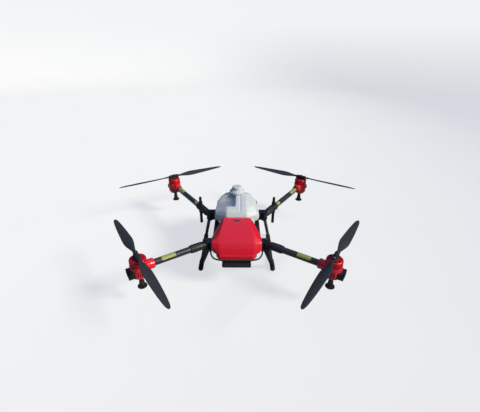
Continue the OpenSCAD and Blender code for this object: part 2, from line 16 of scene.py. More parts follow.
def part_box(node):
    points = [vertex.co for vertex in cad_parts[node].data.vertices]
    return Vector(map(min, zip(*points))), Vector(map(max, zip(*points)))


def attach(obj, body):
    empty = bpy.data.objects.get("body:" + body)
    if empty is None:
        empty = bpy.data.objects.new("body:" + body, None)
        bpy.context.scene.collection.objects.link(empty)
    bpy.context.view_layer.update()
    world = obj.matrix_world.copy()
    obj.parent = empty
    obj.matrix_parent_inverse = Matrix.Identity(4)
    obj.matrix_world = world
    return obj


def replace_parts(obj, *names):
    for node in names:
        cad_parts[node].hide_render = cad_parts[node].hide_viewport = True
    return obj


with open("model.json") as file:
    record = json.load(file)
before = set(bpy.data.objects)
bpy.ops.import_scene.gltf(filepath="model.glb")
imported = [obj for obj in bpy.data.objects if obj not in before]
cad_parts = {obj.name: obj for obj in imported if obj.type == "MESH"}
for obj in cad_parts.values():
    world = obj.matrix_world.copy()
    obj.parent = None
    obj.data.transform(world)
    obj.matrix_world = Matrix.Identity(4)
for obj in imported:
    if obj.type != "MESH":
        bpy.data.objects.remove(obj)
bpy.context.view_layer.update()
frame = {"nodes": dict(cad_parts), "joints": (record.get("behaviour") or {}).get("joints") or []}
JOINTS = {joint["name"]: joint for joint in frame["joints"]}
ARMS = ("fl", "fr", "rl", "rr")
SIDES = (-1, 1)
ARM_TUBE_R = 0.020
ARM_TUBE_FIT = 0.02005  # bore of a part that slips over an arm tube
SKID_R = 0.012
SKID_FIT = 0.01205
TRAY_TOP = 0.2263  # the tank and the battery stand just clear of the tray
IDENTITY = Matrix.Identity(4)
TURN_X = Matrix.Rotation(math.pi / 2, 4, "Y")
TURN_Y = Matrix.Rotation(-math.pi / 2, 4, "X")


# ---- Places from the frame --------------------------------------------------


def joint_at(name):
    return Vector(JOINTS[name]["pos_m"])


ARM_Z = joint_at("arm_fold_fr").z
PROP_Z = joint_at("blade_fold_a_fr").z
ROTOR_Y = (joint_at("rotor_spin_fr").y + joint_at("rotor_spin_rr").y) / 2
AIRFRAME = Matrix.Translation((0, ROTOR_Y, 0))


def frame_towards(origin, target):
    """A frame at origin with Z up, whose X axis points level towards target."""
    heading = math.atan2(target.y - origin.y, target.x - origin.x)
    return Matrix.Translation(origin) @ Matrix.Rotation(heading, 4, "Z")


def arm_frame(arm):
    return frame_towards(joint_at("arm_fold_" + arm), joint_at("rotor_spin_" + arm))


def arm_length(arm):
    return (joint_at("rotor_spin_" + arm) - joint_at("arm_fold_" + arm)).xy.length


def pod_frame(arm):
    return arm_frame(arm) @ Matrix.Translation((arm_length(arm), 0, 0))


def prop_frame(arm):
    return frame_towards(joint_at("rotor_spin_" + arm), joint_at("blade_fold_a_" + arm))


def handed(arm):
    return -1 if arm[1] == "l" else 1


def shifted(x, y, z, turn=IDENTITY):
    return Matrix.Translation((x, y, z)) @ turn


def spun(degrees):
    return Matrix.Rotation(math.radians(degrees), 4, "Z")


# ---- Shapes -----------------------------------------------------------------


def add_faces(bm, first, second):
    """Skins two rings of vertices; a ring of one vertex makes a fan."""
    count = max(len(first), len(second))
    for k in range(count):
        corners = [first[k % len(first)], first[(k + 1) % len(first)]]
        corners += [second[(k + 1) % len(second)], second[k % len(second)]]
        bm.faces.new(list(dict.fromkeys(corners)))


def add_lathe(bm, profile, sides=48, closed=False, at=IDENTITY, ripple=None):
    """Turns (radius, height) pairs about Z; ripple(angle, height) scales the radius."""
    rings = []
    for radius, height in profile:
        ring = []
        for k in range(sides if radius > 0 else 1):
            angle = 2 * math.pi * k / sides
            reach = radius * (ripple(angle, height) if ripple else 1)
            point = Vector((reach * math.cos(angle), reach * math.sin(angle), height))
            ring.append(bm.verts.new(at @ point))
        rings.append(ring)
    for first, second in zip(rings, rings[1:] + (rings[:1] if closed else [])):
        add_faces(bm, first, second)


def lathed(profile, sides=48, closed=False, at=IDENTITY, ripple=None):
    bm = bmesh.new()
    add_lathe(bm, profile, sides, closed, at, ripple)
    return bm


def add_rod(bm, radius, low, high, sides=48, at=IDENTITY, edge=0):
    """A round bar along Z, whose ends are chamfered by edge."""
    profile = [(0, low), (radius, low), (radius, high), (0, high)]
    if edge:
        profile[1:2] = [(radius - edge, low), (radius, low + edge)]
        profile[3:4] = [(radius, high - edge), (radius - edge, high)]
    add_lathe(bm, profile, sides, at=at)


def add_sleeve(bm, inner, outer, low, high, sides=48, at=IDENTITY):
    add_lathe(bm, [(inner, low), (outer, low), (outer, high), (inner, high)], sides, True, at)


def add_loft(bm, rings, at=IDENTITY):
    """Skins a run of point rings and caps both ends."""
    made = [[bm.verts.new(at @ Vector(point)) for point in ring] for ring in rings]
    for first, second in zip(made, made[1:]):
        add_faces(bm, first, second)
    bm.faces.new(made[0])
    bm.faces.new(made[-1])


def add_prism(bm, outline, low, high, at=IDENTITY):
    add_loft(bm, [[(x, y, z) for x, y in outline] for z in (low, high)], at)


def add_box(bm, low, high, at=IDENTITY):
    corners = [(low[0], low[1]), (high[0], low[1]), (high[0], high[1]), (low[0], high[1])]
    add_prism(bm, corners, low[2], high[2], at)


def unit(vector):
    return vector / vector.length


def smooth_route(route, bend, steps=6):
    """A route of points with each corner turned into a smooth bend."""
    points = [Vector(point) for point in route]
    path = [points[0]]
    for before, here, after in zip(points, points[1:], points[2:]):
        start = here + unit(before - here) * min(bend, (before - here).length * 0.45)
        end = here + unit(after - here) * min(bend, (after - here).length * 0.45)
        for k in range(steps + 1):
            t = k / steps
            path.append(start * (1 - t) ** 2 + here * 2 * t * (1 - t) + end * t * t)
    return path + [points[-1]]


def add_sweep(bm, path, radius, sides=16, at=IDENTITY):
    """A round bar along a path; radius may be a function of the share of the path."""
    across = None
    rings = []
    for i, point in enumerate(path):
        heading = unit(path[min(i + 1, len(path) - 1)] - path[max(i - 1, 0)])
        if across is None:
            across = unit(heading.orthogonal())
        across = unit(across - heading * across.dot(heading))
        up = heading.cross(across)
        r = radius(i / (len(path) - 1)) if callable(radius) else radius
        angles = [2 * math.pi * k / sides for k in range(sides)]
        rings.append([point + r * (across * math.cos(a) + up * math.sin(a)) for a in angles])
    add_loft(bm, rings, at)


def add_screw(bm, at, radius=0.003, height=0.0022):
    """A socket-head screw whose head stands on at's XY plane."""
    rim = [(radius, height * 0.8), (radius * 0.88, height), (radius * 0.5, height)]
    add_lathe(bm, [(0, -0.002), (radius, -0.002)] + rim, 20, at=at)
    socket = [(radius * 0.5, height), (radius * 0.5, height * 0.3), (0, height * 0.3)]
    add_lathe(bm, socket, 20, at=at)


def round_outline(width, height, radius, steps=6):
    """A rounded rectangle's outline about the origin."""
    points = []
    for k in range(4 * (steps + 1)):
        quarter = k // (steps + 1)
        angle = math.radians(90 * quarter + 90 * (k % (steps + 1)) / steps)
        x = (width / 2 - radius) * (1 if quarter in (0, 3) else -1)
        y = (height / 2 - radius) * (1 if quarter in (0, 1) else -1)
        points.append((x + radius * math.cos(angle), y + radius * math.sin(angle)))
    return points


# ---- Temporary solids, for rounding and cutting -----------------------------


def temporary(bm):
    bmesh.ops.recalc_face_normals(bm, faces=bm.faces)
    mesh = bpy.data.meshes.new("temporary")
    bm.to_mesh(mesh)
    bm.free()
    solid = bpy.data.objects.new("temporary", mesh)
    bpy.context.scene.collection.objects.link(solid)
    return solid


def settled(solid, *others):
    """The bmesh of a temporary solid with its modifiers applied; the solids are removed."""
    bpy.context.view_layer.update()
    graph = bpy.context.evaluated_depsgraph_get()
    mesh = bpy.data.meshes.new_from_object(solid.evaluated_get(graph))
    bm = bmesh.new()
    bm.from_mesh(mesh)
    bpy.data.meshes.remove(mesh)
    for item in (solid, *others):
        bpy.data.objects.remove(item)
    return bm


def boolean(bm, tool, operation="DIFFERENCE"):
    """bm with tool cut out of it or joined to it."""
    solid, other = temporary(bm), temporary(tool)
    modifier = solid.modifiers.new("boolean", "BOOLEAN")
    modifier.operation = operation
    modifier.solver = "EXACT"
    modifier.object = other
    return settled(solid, other)


def cut_box(bm, low, high, at=IDENTITY):
    tool = bmesh.new()
    add_box(tool, low, high, at)
    return boolean(bm, tool)


def with_box(bm, low, high):
    tool = bmesh.new()
    add_box(tool, low, high)
    return boolean(bm, tool, "UNION")


def drilled(bm, radius, low, high, sides=48, at=IDENTITY):
    """bm with a round hole cut along at's Z axis."""
    tool = bmesh.new()
    add_rod(tool, radius, low, high, sides, at)
    return boolean(bm, tool)


def centred_box(half_width, y_low, y_high, z_low, z_high):
    """The low and high corners of a box that lies evenly across the middle plane."""
    return (-half_width, y_low, z_low), (half_width, y_high, z_high)


def soft_form(boxes, voxel, rounds):
    """A closed solid drawn tightly round centred boxes, with its edges rounded off."""
    bm = bmesh.new()
    for box in boxes:
        low, high = centred_box(*box)
        for k in range(8):
            bm.verts.new([(low, high)[k >> axis & 1][axis] for axis in range(3)])
    hull = bmesh.ops.convex_hull(bm, input=bm.verts)
    left_over = hull["geom_interior"] + hull["geom_unused"]
    spare = {item for item in left_over if isinstance(item, bmesh.types.BMVert)}
    bmesh.ops.delete(bm, geom=list(spare), context="VERTS")
    solid = temporary(bm)
    remesh = solid.modifiers.new("remesh", "REMESH")
    remesh.mode = "VOXEL"
    remesh.voxel_size = voxel
    smooth = solid.modifiers.new("smooth", "SMOOTH")
    smooth.factor = 0.5
    smooth.iterations = rounds
    return settled(solid)


def band(value, low, high, soft):
    """1 between low and high, fading smoothly to 0 over soft on either side."""
    rise = min(1, max(0, (value - low) / soft + 0.5))
    fall = min(1, max(0, (high - value) / soft + 0.5))
    return rise * rise * (3 - 2 * rise) * fall * fall * (3 - 2 * fall)


# ---- Pieces -----------------------------------------------------------------


def piece(name, bm, look, body="root", place=AIRFRAME, hand=1, sharp=40, bevel=0):
    """Makes the piece drawn in bm, in place's frame, and lets it ride on body."""
    if hand < 0:
        bm.transform(Matrix.Scale(-1, 4, (0, 1, 0)))
    bmesh.ops.recalc_face_normals(bm, faces=bm.faces)
    mesh = bpy.data.meshes.new(name)
    bm.to_mesh(mesh)
    bm.free()
    mesh.shade_smooth()
    mesh.set_sharp_from_angle(angle=math.radians(sharp))
    mesh.materials.append(look[0])
    made = bpy.data.objects.new(name, mesh)
    bpy.context.scene.collection.objects.link(made)
    made.matrix_world = place
    if bevel:
        rounding = made.modifiers.new("rounding", "BEVEL")
        rounding.width = bevel
        rounding.segments = 2
        rounding.limit_method = "ANGLE"
        rounding.angle_limit = math.radians(sharp)
        rounding.harden_normals = True
    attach(made, body)
    return made


def dress(node, look):
    """Gives a CAD node that stays its finish."""
    mesh = frame["nodes"][node].data
    mesh.materials.clear()
    mesh.materials.append(look[0])


# ---- Materials --------------------------------------------------------------


class Look:
    """A small builder for one procedural material."""

    def __init__(self, name, roughness=0.5, metallic=0.0, coat=0.0, **constants):
        self.material = bpy.data.materials.new(name)
        self.material.use_nodes = True
        self.tree = self.material.node_tree
        self.shader = self.tree.nodes["Principled BSDF"]
        self.shader.inputs["Roughness"].default_value = roughness
        self.shader.inputs["Metallic"].default_value = metallic
        self.shader.inputs["Coat Weight"].default_value = coat
        for socket, value in constants.items():
            self.shader.inputs[socket.replace("_", " ")].default_value = value
        self.place = self.node("ShaderNodeTexCoord").outputs["Object"]

    def node(self, kind, **settings):
        made = self.tree.nodes.new(kind)
        for key, value in settings.items():
            setattr(made, key, value)
        return made

    def feed(self, socket, value):
        if isinstance(value, (int, float, tuple)):
            socket.default_value = value
        else:
            self.tree.links.new(value, socket)

    def math(self, operation, *values):
        made = self.node("ShaderNodeMath", operation=operation)
        for socket, value in zip(made.inputs, values):
            self.feed(socket, value)
        return made.outputs[0]

    def times(self, value, factor):
        return self.math("MULTIPLY", value, factor)

    def ridges(self, value, scale):
        """Rounded ridges across a value."""
        return self.math("ABSOLUTE", self.math("SINE", self.times(value, scale)))

    def stretched(self, scale):
        made = self.node("ShaderNodeMapping")
        self.feed(made.inputs["Vector"], self.place)
        made.inputs["Scale"].default_value = scale
        return made.outputs[0]

    def noise(self, scale, detail=3.0, stretch=None):
        made = self.node("ShaderNodeTexNoise")
        self.feed(made.inputs["Vector"], self.stretched(stretch) if stretch else self.place)
        made.inputs["Scale"].default_value = scale
        made.inputs["Detail"].default_value = detail
        return made.outputs["Fac"]

    def ramp(self, value, stops):
        made = self.node("ShaderNodeValToRGB")
        self.feed(made.inputs["Fac"], value)
        steps = made.color_ramp.elements
        while len(steps) < len(stops):
            steps.new(0.5)
        for step, (position, colour) in zip(steps, stops):
            step.position = position
            step.color = colour if isinstance(colour, tuple) else (colour, colour, colour, 1)
        return made.outputs["Color"]

    def mix(self, share, first, second):
        made = self.node("ShaderNodeMix", data_type="RGBA")
        self.feed(made.inputs["Factor"], share)
        self.feed(made.inputs[6], first)
        self.feed(made.inputs[7], second)
        return made.outputs[2]

    def along(self, axis):
        made = self.node("ShaderNodeSeparateXYZ")
        self.feed(made.inputs[0], self.place)
        return made.outputs[axis]

    def colour(self, value):
        self.feed(self.shader.inputs["Base Color"], value)

    def roughness(self, value):
        self.feed(self.shader.inputs["Roughness"], value)

    def uneven(self, scale, low, high, detail=4):
        """Roughness that wanders between low and high."""
        self.roughness(self.ramp(self.noise(scale, detail), [(0.3, low), (0.7, high)]))

    def edges(self):
        """1 on worn edges and 0 elsewhere."""
        convex = self.node("ShaderNodeNewGeometry").outputs["Pointiness"]
        return self.ramp(convex, [(0.53, 0.0), (0.6, 1.0)])

    def bump(self, height, distance, strength=1.0):
        made = self.node("ShaderNodeBump")
        self.feed(made.inputs["Height"], height)
        made.inputs["Distance"].default_value = distance
        made.inputs["Strength"].default_value = strength
        current = self.shader.inputs["Normal"]
        if current.is_linked:
            self.feed(made.inputs["Normal"], current.links[0].from_socket)
        self.feed(current, made.outputs["Normal"])


def srgb(red, green, blue):
    """A colour given as 11 to 255 in sRGB."""
    return tuple(((c / 255 + 0.055) / 1.055) ** 2.4 for c in (red, green, blue)) + (1,)


def scaled(colour, share):
    return tuple(min(1, c * share) for c in colour[:3]) + (1,)


def aged(look, colour, spread=0.12, scale=9.0, edge=1.5):
    """Base colour with broad, faint shade variation, dust specks and edges rubbed lighter."""
    shades = [(0.3, scaled(colour, 1 - spread)), (0.7, scaled(colour, 1 + spread))]
    shade = look.ramp(look.noise(scale, 4), shades)
    specks = look.ramp(look.noise(scale * 70, 2), [(0.66, 0.0), (0.74, 1.0)])
    dusty = look.mix(look.times(specks, 0.12), shade, (0.5, 0.48, 0.44, 1))
    look.colour(look.mix(look.times(look.edges(), 0.35), dusty, scaled(colour, edge)))


def gloss_shell(name, colour):
    look = Look(name, roughness=0.3, coat=0.6, Coat_Roughness=0.08, Specular_IOR_Level=0.5)
    aged(look, colour, 0.06, 7, 1.25)
    look.roughness(look.ramp(look.noise(60, 5, (1, 9, 9)), [(0.35, 0.24), (0.7, 0.4)]))
    look.bump(look.noise(420, 2), 0.00008)
    look.bump(look.noise(14, 2), 0.0006, 0.25)
    return look.material


def powder_coat(name, colour):
    look = Look(name, roughness=0.5, Specular_IOR_Level=0.5)
    aged(look, colour, 0.16, 12, 2.2)
    look.uneven(40, 0.42, 0.62)
    look.bump(look.noise(1300, 3), 0.00015)
    return look.material


def moulded(name, colour, roughness=0.5, grain=900.0, depth=0.0001):
    look = Look(name, roughness=roughness)
    aged(look, colour, 0.1, 10, 1.6)
    look.uneven(55, roughness - 0.08, roughness + 0.1)
    look.bump(look.noise(grain, 3), depth)
    return look.material


def brushed(name, colour, roughness=0.32, stretch=(1, 30, 30), metallic=0.9):
    look = Look(name, roughness=roughness, metallic=metallic)
    lines = look.noise(90, 6, stretch)
    shade = look.ramp(lines, [(0.3, scaled(colour, 0.8)), (0.7, scaled(colour, 1.25))])
    look.colour(look.mix(look.times(look.edges(), 0.5), shade, scaled(colour, 2.2)))
    look.roughness(look.ramp(lines, [(0.3, roughness - 0.08), (0.7, roughness + 0.12)]))
    look.bump(lines, 0.00006)
    return look.material


def carbon(name, radius, axis):
    """Two-by-two twill of carbon tows wound round a tube that lies along one local axis."""
    tow = 0.0022
    look = Look(name, roughness=0.34, coat=0.7, Coat_Roughness=0.1)
    others = [k for k in range(3) if k != axis]
    around = look.math("ARCTAN2", look.along(others[0]), look.along(others[1]))
    across = look.times(around, radius / tow)
    length = look.times(look.along(axis), 1 / tow)
    cells = look.math("ADD", look.math("FLOOR", across), look.math("FLOOR", length))
    over = look.math("LESS_THAN", look.math("FLOORED_MODULO", cells, 4.0), 1.5)
    warp = look.ridges(across, math.pi)
    weft = look.ridges(length, math.pi)
    dark = look.mix(over, srgb(24, 27, 32), srgb(58, 63, 72))
    look.colour(look.mix(look.times(look.noise(900, 2), 0.5), dark, srgb(40, 44, 52)))
    look.roughness(look.ramp(over, [(0.0, 0.28), (1.0, 0.44)]))
    look.bump(look.mix(over, warp, weft), 0.00012, 0.7)
    return look.material


def tank_wall(name):
    look = Look(name, roughness=0.4, Subsurface_Weight=0.1, Subsurface_Scale=0.02)
    cloudy = look.ramp(look.noise(7, 5), [(0.3, srgb(205, 212, 218)), (0.7, srgb(226, 231, 234))])
    level = look.ramp(look.times(look.along(2), 2.0), [(0.66, 1.0), (0.70, 0.0)])
    tinted = look.mix(look.times(level, 0.5), cloudy, srgb(186, 204, 190))
    specks = look.ramp(look.noise(600, 2), [(0.66, 0.0), (0.76, 1.0)])
    look.colour(look.mix(look.times(specks, 0.1), tinted, srgb(150, 146, 136)))
    look.uneven(30, 0.34, 0.52)
    look.bump(look.noise(380, 3), 0.0002, 0.6)
    look.bump(look.noise(18, 2), 0.0012, 0.35)
    return look.material


def rubber(name, colour):
    look = Look(name, roughness=0.8, Specular_IOR_Level=0.3)
    aged(look, colour, 0.18, 30, 1.7)
    look.uneven(80, 0.7, 0.92)
    look.bump(look.noise(800, 4), 0.0003)
    return look.material


def reflective_tape(name):
    """Yellow-green film with a fine honeycomb of cells and dark rims."""
    look = Look(name, roughness=0.35, coat=0.5, Coat_Roughness=0.15)
    cells = look.node("ShaderNodeTexVoronoi", feature="DISTANCE_TO_EDGE")
    look.feed(cells.inputs["Vector"], look.place)
    cells.inputs["Scale"].default_value = 420
    lines = look.ramp(cells.outputs["Distance"], [(0.04, 1.0), (0.12, 0.0)])
    film = look.ramp(look.noise(20, 4), [(0.3, srgb(170, 174, 92)), (0.7, srgb(188, 190, 108))])
    look.colour(look.mix(look.times(lines, 0.45), film, srgb(96, 98, 48)))
    look.bump(cells.outputs["Distance"], 0.0002, 0.5)
    return look.material


def copper(name):
    look = Look(name, roughness=0.35, metallic=0.8)
    turns = look.ridges(look.along(2), 4200.0)
    # The colour is painted shade in the grooves between the wire turns and a painted highlight on
    # their crests
    look.colour(look.ramp(turns, [(0.1, srgb(70, 34, 16)), (0.6, srgb(178, 104, 60))]))
    look.uneven(300, 0.28, 0.5, 3)
    look.bump(turns, 0.0002)
    return look.material


def lens(name, colour, glow=0.0):
    look = Look(name, roughness=0.1, coat=1.0, Coat_Roughness=0.03, Emission_Strength=glow)
    look.shader.inputs["Emission Color"].default_value = colour
    ribs = look.ridges(look.along(1), 1600.0)
    look.colour(look.mix(look.times(ribs, 0.35), colour, scaled(colour, 0.55)))
    look.uneven(120, 0.06, 0.2, 3)
    look.bump(ribs, 0.0003)
    return look.material


def pale_floor(name):
    """A pale floor with a glow of its own, seen only by the camera, that keeps shadows faint.

    The wall that it curves up into has more glow and less shading, so that it stays even.
    """
    look = Look(name, roughness=0.9, Specular_IOR_Level=0.0)
    look.shader.inputs["Emission Color"].default_value = (0.97, 0.98, 1.0, 1)
    seen = look.node("ShaderNodeLightPath").outputs["Is Camera Ray"]
    height = look.times(look.along(2), 0.5)
    glow = look.ramp(height, [(0.0, 0.66), (0.9, 0.90)])
    look.feed(look.shader.inputs["Emission Strength"], look.times(seen, glow))
    mottle = look.ramp(look.noise(1.5, 3), [(0.3, 0.29), (0.7, 0.31)])
    look.colour(look.times(mottle, look.ramp(height, [(0.0, 1.0), (0.9, 0.08)])))
    return look.material


# Each look is a material and the record's material slot that it stands for
red_shell = gloss_shell("red_shell", srgb(236, 28, 54)), "red_plastic"
red_bell = brushed("red_bell", srgb(216, 30, 46), 0.34, (1, 1, 40), 0.35), "red_alloy"
black_coat = powder_coat("black_coat", srgb(34, 37, 43)), "black_casting"
rail_metal = brushed("rail_metal", srgb(46, 48, 60), 0.38, (40, 1, 40), 0.75), "frame_alloy"
black_mould = moulded("black_mould", srgb(30, 31, 34)), "black_plastic"
grey_mould = moulded("grey_mould", srgb(208, 214, 221), 0.42, 700, 0.00012), "cap_plastic"
battery_case = moulded("battery_case", srgb(44, 46, 51), 0.55, 600, 0.0002), "battery_case"
nozzle_mould = moulded("nozzle_mould", srgb(46, 40, 34), 0.4, 800), "nozzle_plastic"
blade_mould = moulded("blade_mould", srgb(52, 54, 58), 0.38, 500, 0.00012), "blade_composite"
arm_carbon = carbon("arm_carbon", ARM_TUBE_R, 0), "carbon_tube"
skid_carbon = carbon("skid_carbon", SKID_R, 1), "carbon_tube"
tank_skin = tank_wall("tank_skin"), "tank_plastic"
hose_rubber = rubber("hose_rubber", srgb(58, 72, 88)), "hose_rubber"
foot_rubber = rubber("foot_rubber", srgb(58, 60, 50)), "foot_rubber"
bolt_steel = brushed("bolt_steel", srgb(96, 98, 104), 0.34, (1, 1, 30), 1.0), "bolt_steel"
dark_steel = brushed("dark_steel", srgb(58, 60, 64), 0.35, (1, 1, 30), 0.9), "bolt_steel"
pump_metal = brushed("pump_metal", srgb(104, 108, 114), 0.42, (20, 1, 20), 0.9), "pump_alloy"
circuit_case = brushed("circuit_case", srgb(72, 78, 86), 0.4, (30, 1, 30), 0.8), "circuit_case"
windings = copper("windings"), "copper_winding"
tape = reflective_tape("tape"), None
lamp_lens = lens("lamp_lens", srgb(214, 200, 176)), None
sensor_lens = lens("sensor_lens", srgb(20, 22, 26)), None
green_led = lens("green_led", srgb(60, 210, 110), 1.5), None


# ---- Nose -------------------------------------------------------------------

COWL_WALL = 0.003


def cowl_top_form(inset):
    """The cowl's upper form; the outer one runs past its open rims, which are cut later."""
    rear = -0.152 + (0.005 if inset else 0.014)
    drop = 0.012
    return soft_form([
        (0.088 - inset, -0.158, rear, 0.350, 0.377 - inset),
        (0.114 - inset, -0.172, rear, 0.310 - drop, 0.336 - inset),
        (0.094 - inset, -0.232, -0.212, 0.310, 0.3715 - inset),
        (0.101 - inset, -0.280, -0.260, 0.310, 0.3635 - inset),
        (0.108 - inset, -0.330, -0.310, 0.310, 0.350 - inset),
        (0.158 - inset, -0.350, -0.298, 0.312 - drop, 0.320 - inset),
        (0.158 - inset, -0.362 + inset, -0.352, 0.266 - drop, 0.304),
        (0.108 - inset, -0.366 + inset, -0.354, 0.266 - drop, 0.322 - inset),
        (0.106 - inset, -0.386 + inset, -0.362, 0.266 - drop, 0.292 - inset),
        (0.103 - inset, -0.404 + inset, -0.388, 0.250, 0.262 - inset),
    ], 0.004, 10)


def cowl_lip_form(inset):
    drop = 0.014
    return soft_form([
        (0.128 - inset, -0.366, -0.350, 0.236 - drop, 0.290),
        (0.102 - inset, -0.408 + inset, -0.388, 0.220 - drop, 0.256 - inset),
    ], 0.0038, 7)


def nose_cowl():
    top = cut_box(cowl_top_form(0), (-0.3, -0.152, 0.1), (0.3, -0.05, 0.5))
    top = cut_box(top, (-0.3, -0.370, 0.1), (0.3, -0.05, 0.266))
    for side in SIDES:
        near, far = sorted((side * 0.128, side * 0.188))
        top = cut_box(top, (near, -0.348, 0.1), (far, -0.294, 0.3175))
        top = cut_box(top, (near, -0.2941, 0.1), (far, -0.050, 0.303))
    top = boolean(top, cowl_top_form(COWL_WALL))
    top = boolean(top, cowl_lip_form(COWL_WALL))
    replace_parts(piece("nose_cowl_top", top, red_shell, sharp=50), "nose_cowl")
    lip = boolean(cowl_lip_form(0), cowl_lip_form(COWL_WALL))
    lip = boolean(lip, cowl_top_form(0))
    lip = cut_box(lip, (-0.3, -0.5, 0.1), (0.3, -0.2, 0.221))
    piece("nose_cowl_lip", lip, red_shell, sharp=50)


def nose_trim():
    """A dark window at the top of the cowl, and the cowl's screws."""
    bm = bmesh.new()
    slope = Matrix.Rotation(math.radians(4.3), 4, "X")
    window = round_outline(0.044, 0.015, 0.004)
    add_prism(bm, window, -0.004, 0.0008, shifted(0, -0.186, 0.3748, slope))
    piece("status_window", bm, sensor_lens, bevel=0.0008)
    bm = bmesh.new()
    for side in SIDES:
        add_screw(bm, shifted(side * 0.066, -0.168, 0.3758, slope), 0.0036, 0.0012)
        tilt = Matrix.Rotation(math.radians(side * 90), 4, "Y")
        add_screw(bm, shifted(side * 0.0985, -0.396, 0.240, tilt), 0.0035)
    piece("cowl_screws", bm, dark_steel)


def front_radar():
    bm = bmesh.new()
    turn = Matrix.Rotation(math.pi / 2, 4, "X")
    housing = round_outline(0.180, 0.036, 0.010, 8)
    add_prism(bm, housing, 0, 0.038, shifted(0, -0.384, 0.196, turn))
    add_box(bm, *centred_box(0.040, -0.404, -0.364, 0.208, 0.222))
    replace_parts(piece("radar_housing", bm, black_mould, bevel=0.0018), "front_radar")
    bm = bmesh.new()
    window = round_outline(0.158, 0.022, 0.006, 8)
    add_prism(bm, window, -0.0006, 0.001, shifted(0, -0.4213, 0.196, turn))
    piece("radar_window", bm, sensor_lens, bevel=0.0006)
    bm = bmesh.new()
    for side in SIDES:
        add_screw(bm, shifted(side * 0.084, -0.4212, 0.196, turn), 0.0028, 0.0008)
    piece("radar_screws", bm, dark_steel)


def front_hoop():
    half = [
        (0.162, -0.347, ARM_Z - 0.027), (0.160, -0.384, 0.256),
        (0.142, -0.414, 0.242), (0.096, -0.421, 0.234),
    ]
    route = [(-x, y, z) for x, y, z in half] + half[::-1]
    bm = bmesh.new()
    add_sweep(bm, smooth_route(route, 0.022, 10), 0.005, 20)
    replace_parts(piece("guard_hoop", bm, black_coat), "front_hoop")
    bm = bmesh.new()
    for side in SIDES:
        at = shifted(side * 0.1615, -0.353, ARM_Z - 0.0273, TURN_Y)
        add_sleeve(bm, 0.0052, 0.0075, -0.006, 0.006, 24, at)
        for x in (0.045, 0.070):
            at = shifted(side * x, -0.421, 0.234, TURN_X)
            add_sleeve(bm, 0.0051, 0.0066, -0.004, 0.004, 24, at)
    piece("hoop_clips", bm, black_mould, bevel=0.0006)


# ---- Tank -------------------------------------------------------------------

TANK_FRONT = -0.148
TANK_REAR = 0.248
WING_Z = 0.322
TANK_TOP = 0.440
NECK = Matrix.Translation((0, 0.095, 0))
NECK_R = 0.030
CAP_BORE_R = 0.0303
CAP_BORE_TOP = 0.4705
SKIRT_TOP = 0.4575


def tank_form():
    side = 0.155
    panel = 0.066
    return soft_form([
        (panel + 0.004, TANK_FRONT, TANK_FRONT + 0.020, WING_Z, 0.378),
        (panel + 0.002, TANK_FRONT + 0.018, -0.110, WING_Z, 0.401),
        (panel, TANK_FRONT + 0.052, -0.060, WING_Z, 0.423),
        (panel - 0.004, -0.040, 0.080, WING_Z, TANK_TOP),
        (panel, 0.080, 0.128, WING_Z, 0.428),
        (side - 0.043, -0.060, 0.090, WING_Z, 0.418),
        (side - 0.021, -0.072, 0.074, WING_Z, 0.394),
        (side - 0.008, TANK_FRONT + 0.056, 0.040, WING_Z, 0.364),
        (side, -0.064, 0.010, WING_Z, 0.345),
        (side - 0.019, 0, 0.092, WING_Z, 0.382),
        (side - 0.055, 0.100, 0.172, WING_Z, 0.386),
        (side - 0.071, 0.100, 0.172, WING_Z, 0.402),
        (side - 0.095, 0.180, TANK_REAR, WING_Z, 0.342),
    ], 0.0045, 6)


def tank_relief(x, y, z):
    """How far the skin is drawn down: a shelf falling away from the centre rib, and a groove."""
    step = min(1, max(0, (-0.010 - x) / 0.005))
    shelf = TANK_TOP - 0.016 + 0.46 * (x + 0.012)
    recess = step * max(0, z - shelf) * band(y, -0.084, 0.066, 0.008)
    groove = 0.004 * band(x, 0.018, 0.026, 0.008) * band(y, -0.120, 0.062, 0.012)
    return recess * band(z, 0.350, 0.6, 0.02) + groove * band(z, 0.372, 0.6, 0.02)


def tank():
    shell = tank_form()
    for vertex in shell.verts:
        x, y, z = vertex.co
        vertex.co.z -= tank_relief(x, y, z)
    base = centred_box(0.122, TANK_FRONT + 0.002, 0.150, TRAY_TOP, WING_Z + 0.012)
    shell = with_box(shell, *base)
    shell = drilled(shell, NECK_R + 0.0001, 0.380, 0.480, 64, NECK)
    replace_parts(piece("tank_shell", shell, tank_skin, "tank_body", sharp=50), "tank")


def filler_neck():
    """A collar through the tank's skin, with a thread for the cap."""
    top, low = 0.470, TANK_TOP - 0.018
    inner, valley = 0.026, NECK_R - 0.0004
    profile = [(inner, low), (NECK_R, low), (NECK_R, 0.4412)]
    for k in range(4):
        turn = 0.4440 + 0.0064 * k
        profile += [(valley, turn), (NECK_R, turn + 0.0012)]
        profile += [(NECK_R, turn + 0.0030), (valley, turn + 0.0042)]
    profile += [(valley, top - 0.0006), (valley - 0.0005, top)]
    profile += [(inner + 0.0006, top), (inner, top - 0.0006)]
    bm = lathed(profile, 64, True, NECK)
    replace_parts(piece("neck_collar", bm, tank_skin, "tank_body"), "filler_neck")


def grip(angle, height):
    """Ribs round the cap's skirt."""
    if height > SKIRT_TOP:
        return 1
    wave = 0.5 + 0.5 * math.cos(24 * angle)
    return 1 - 0.055 * (1 - min(1, 1.8 * wave))


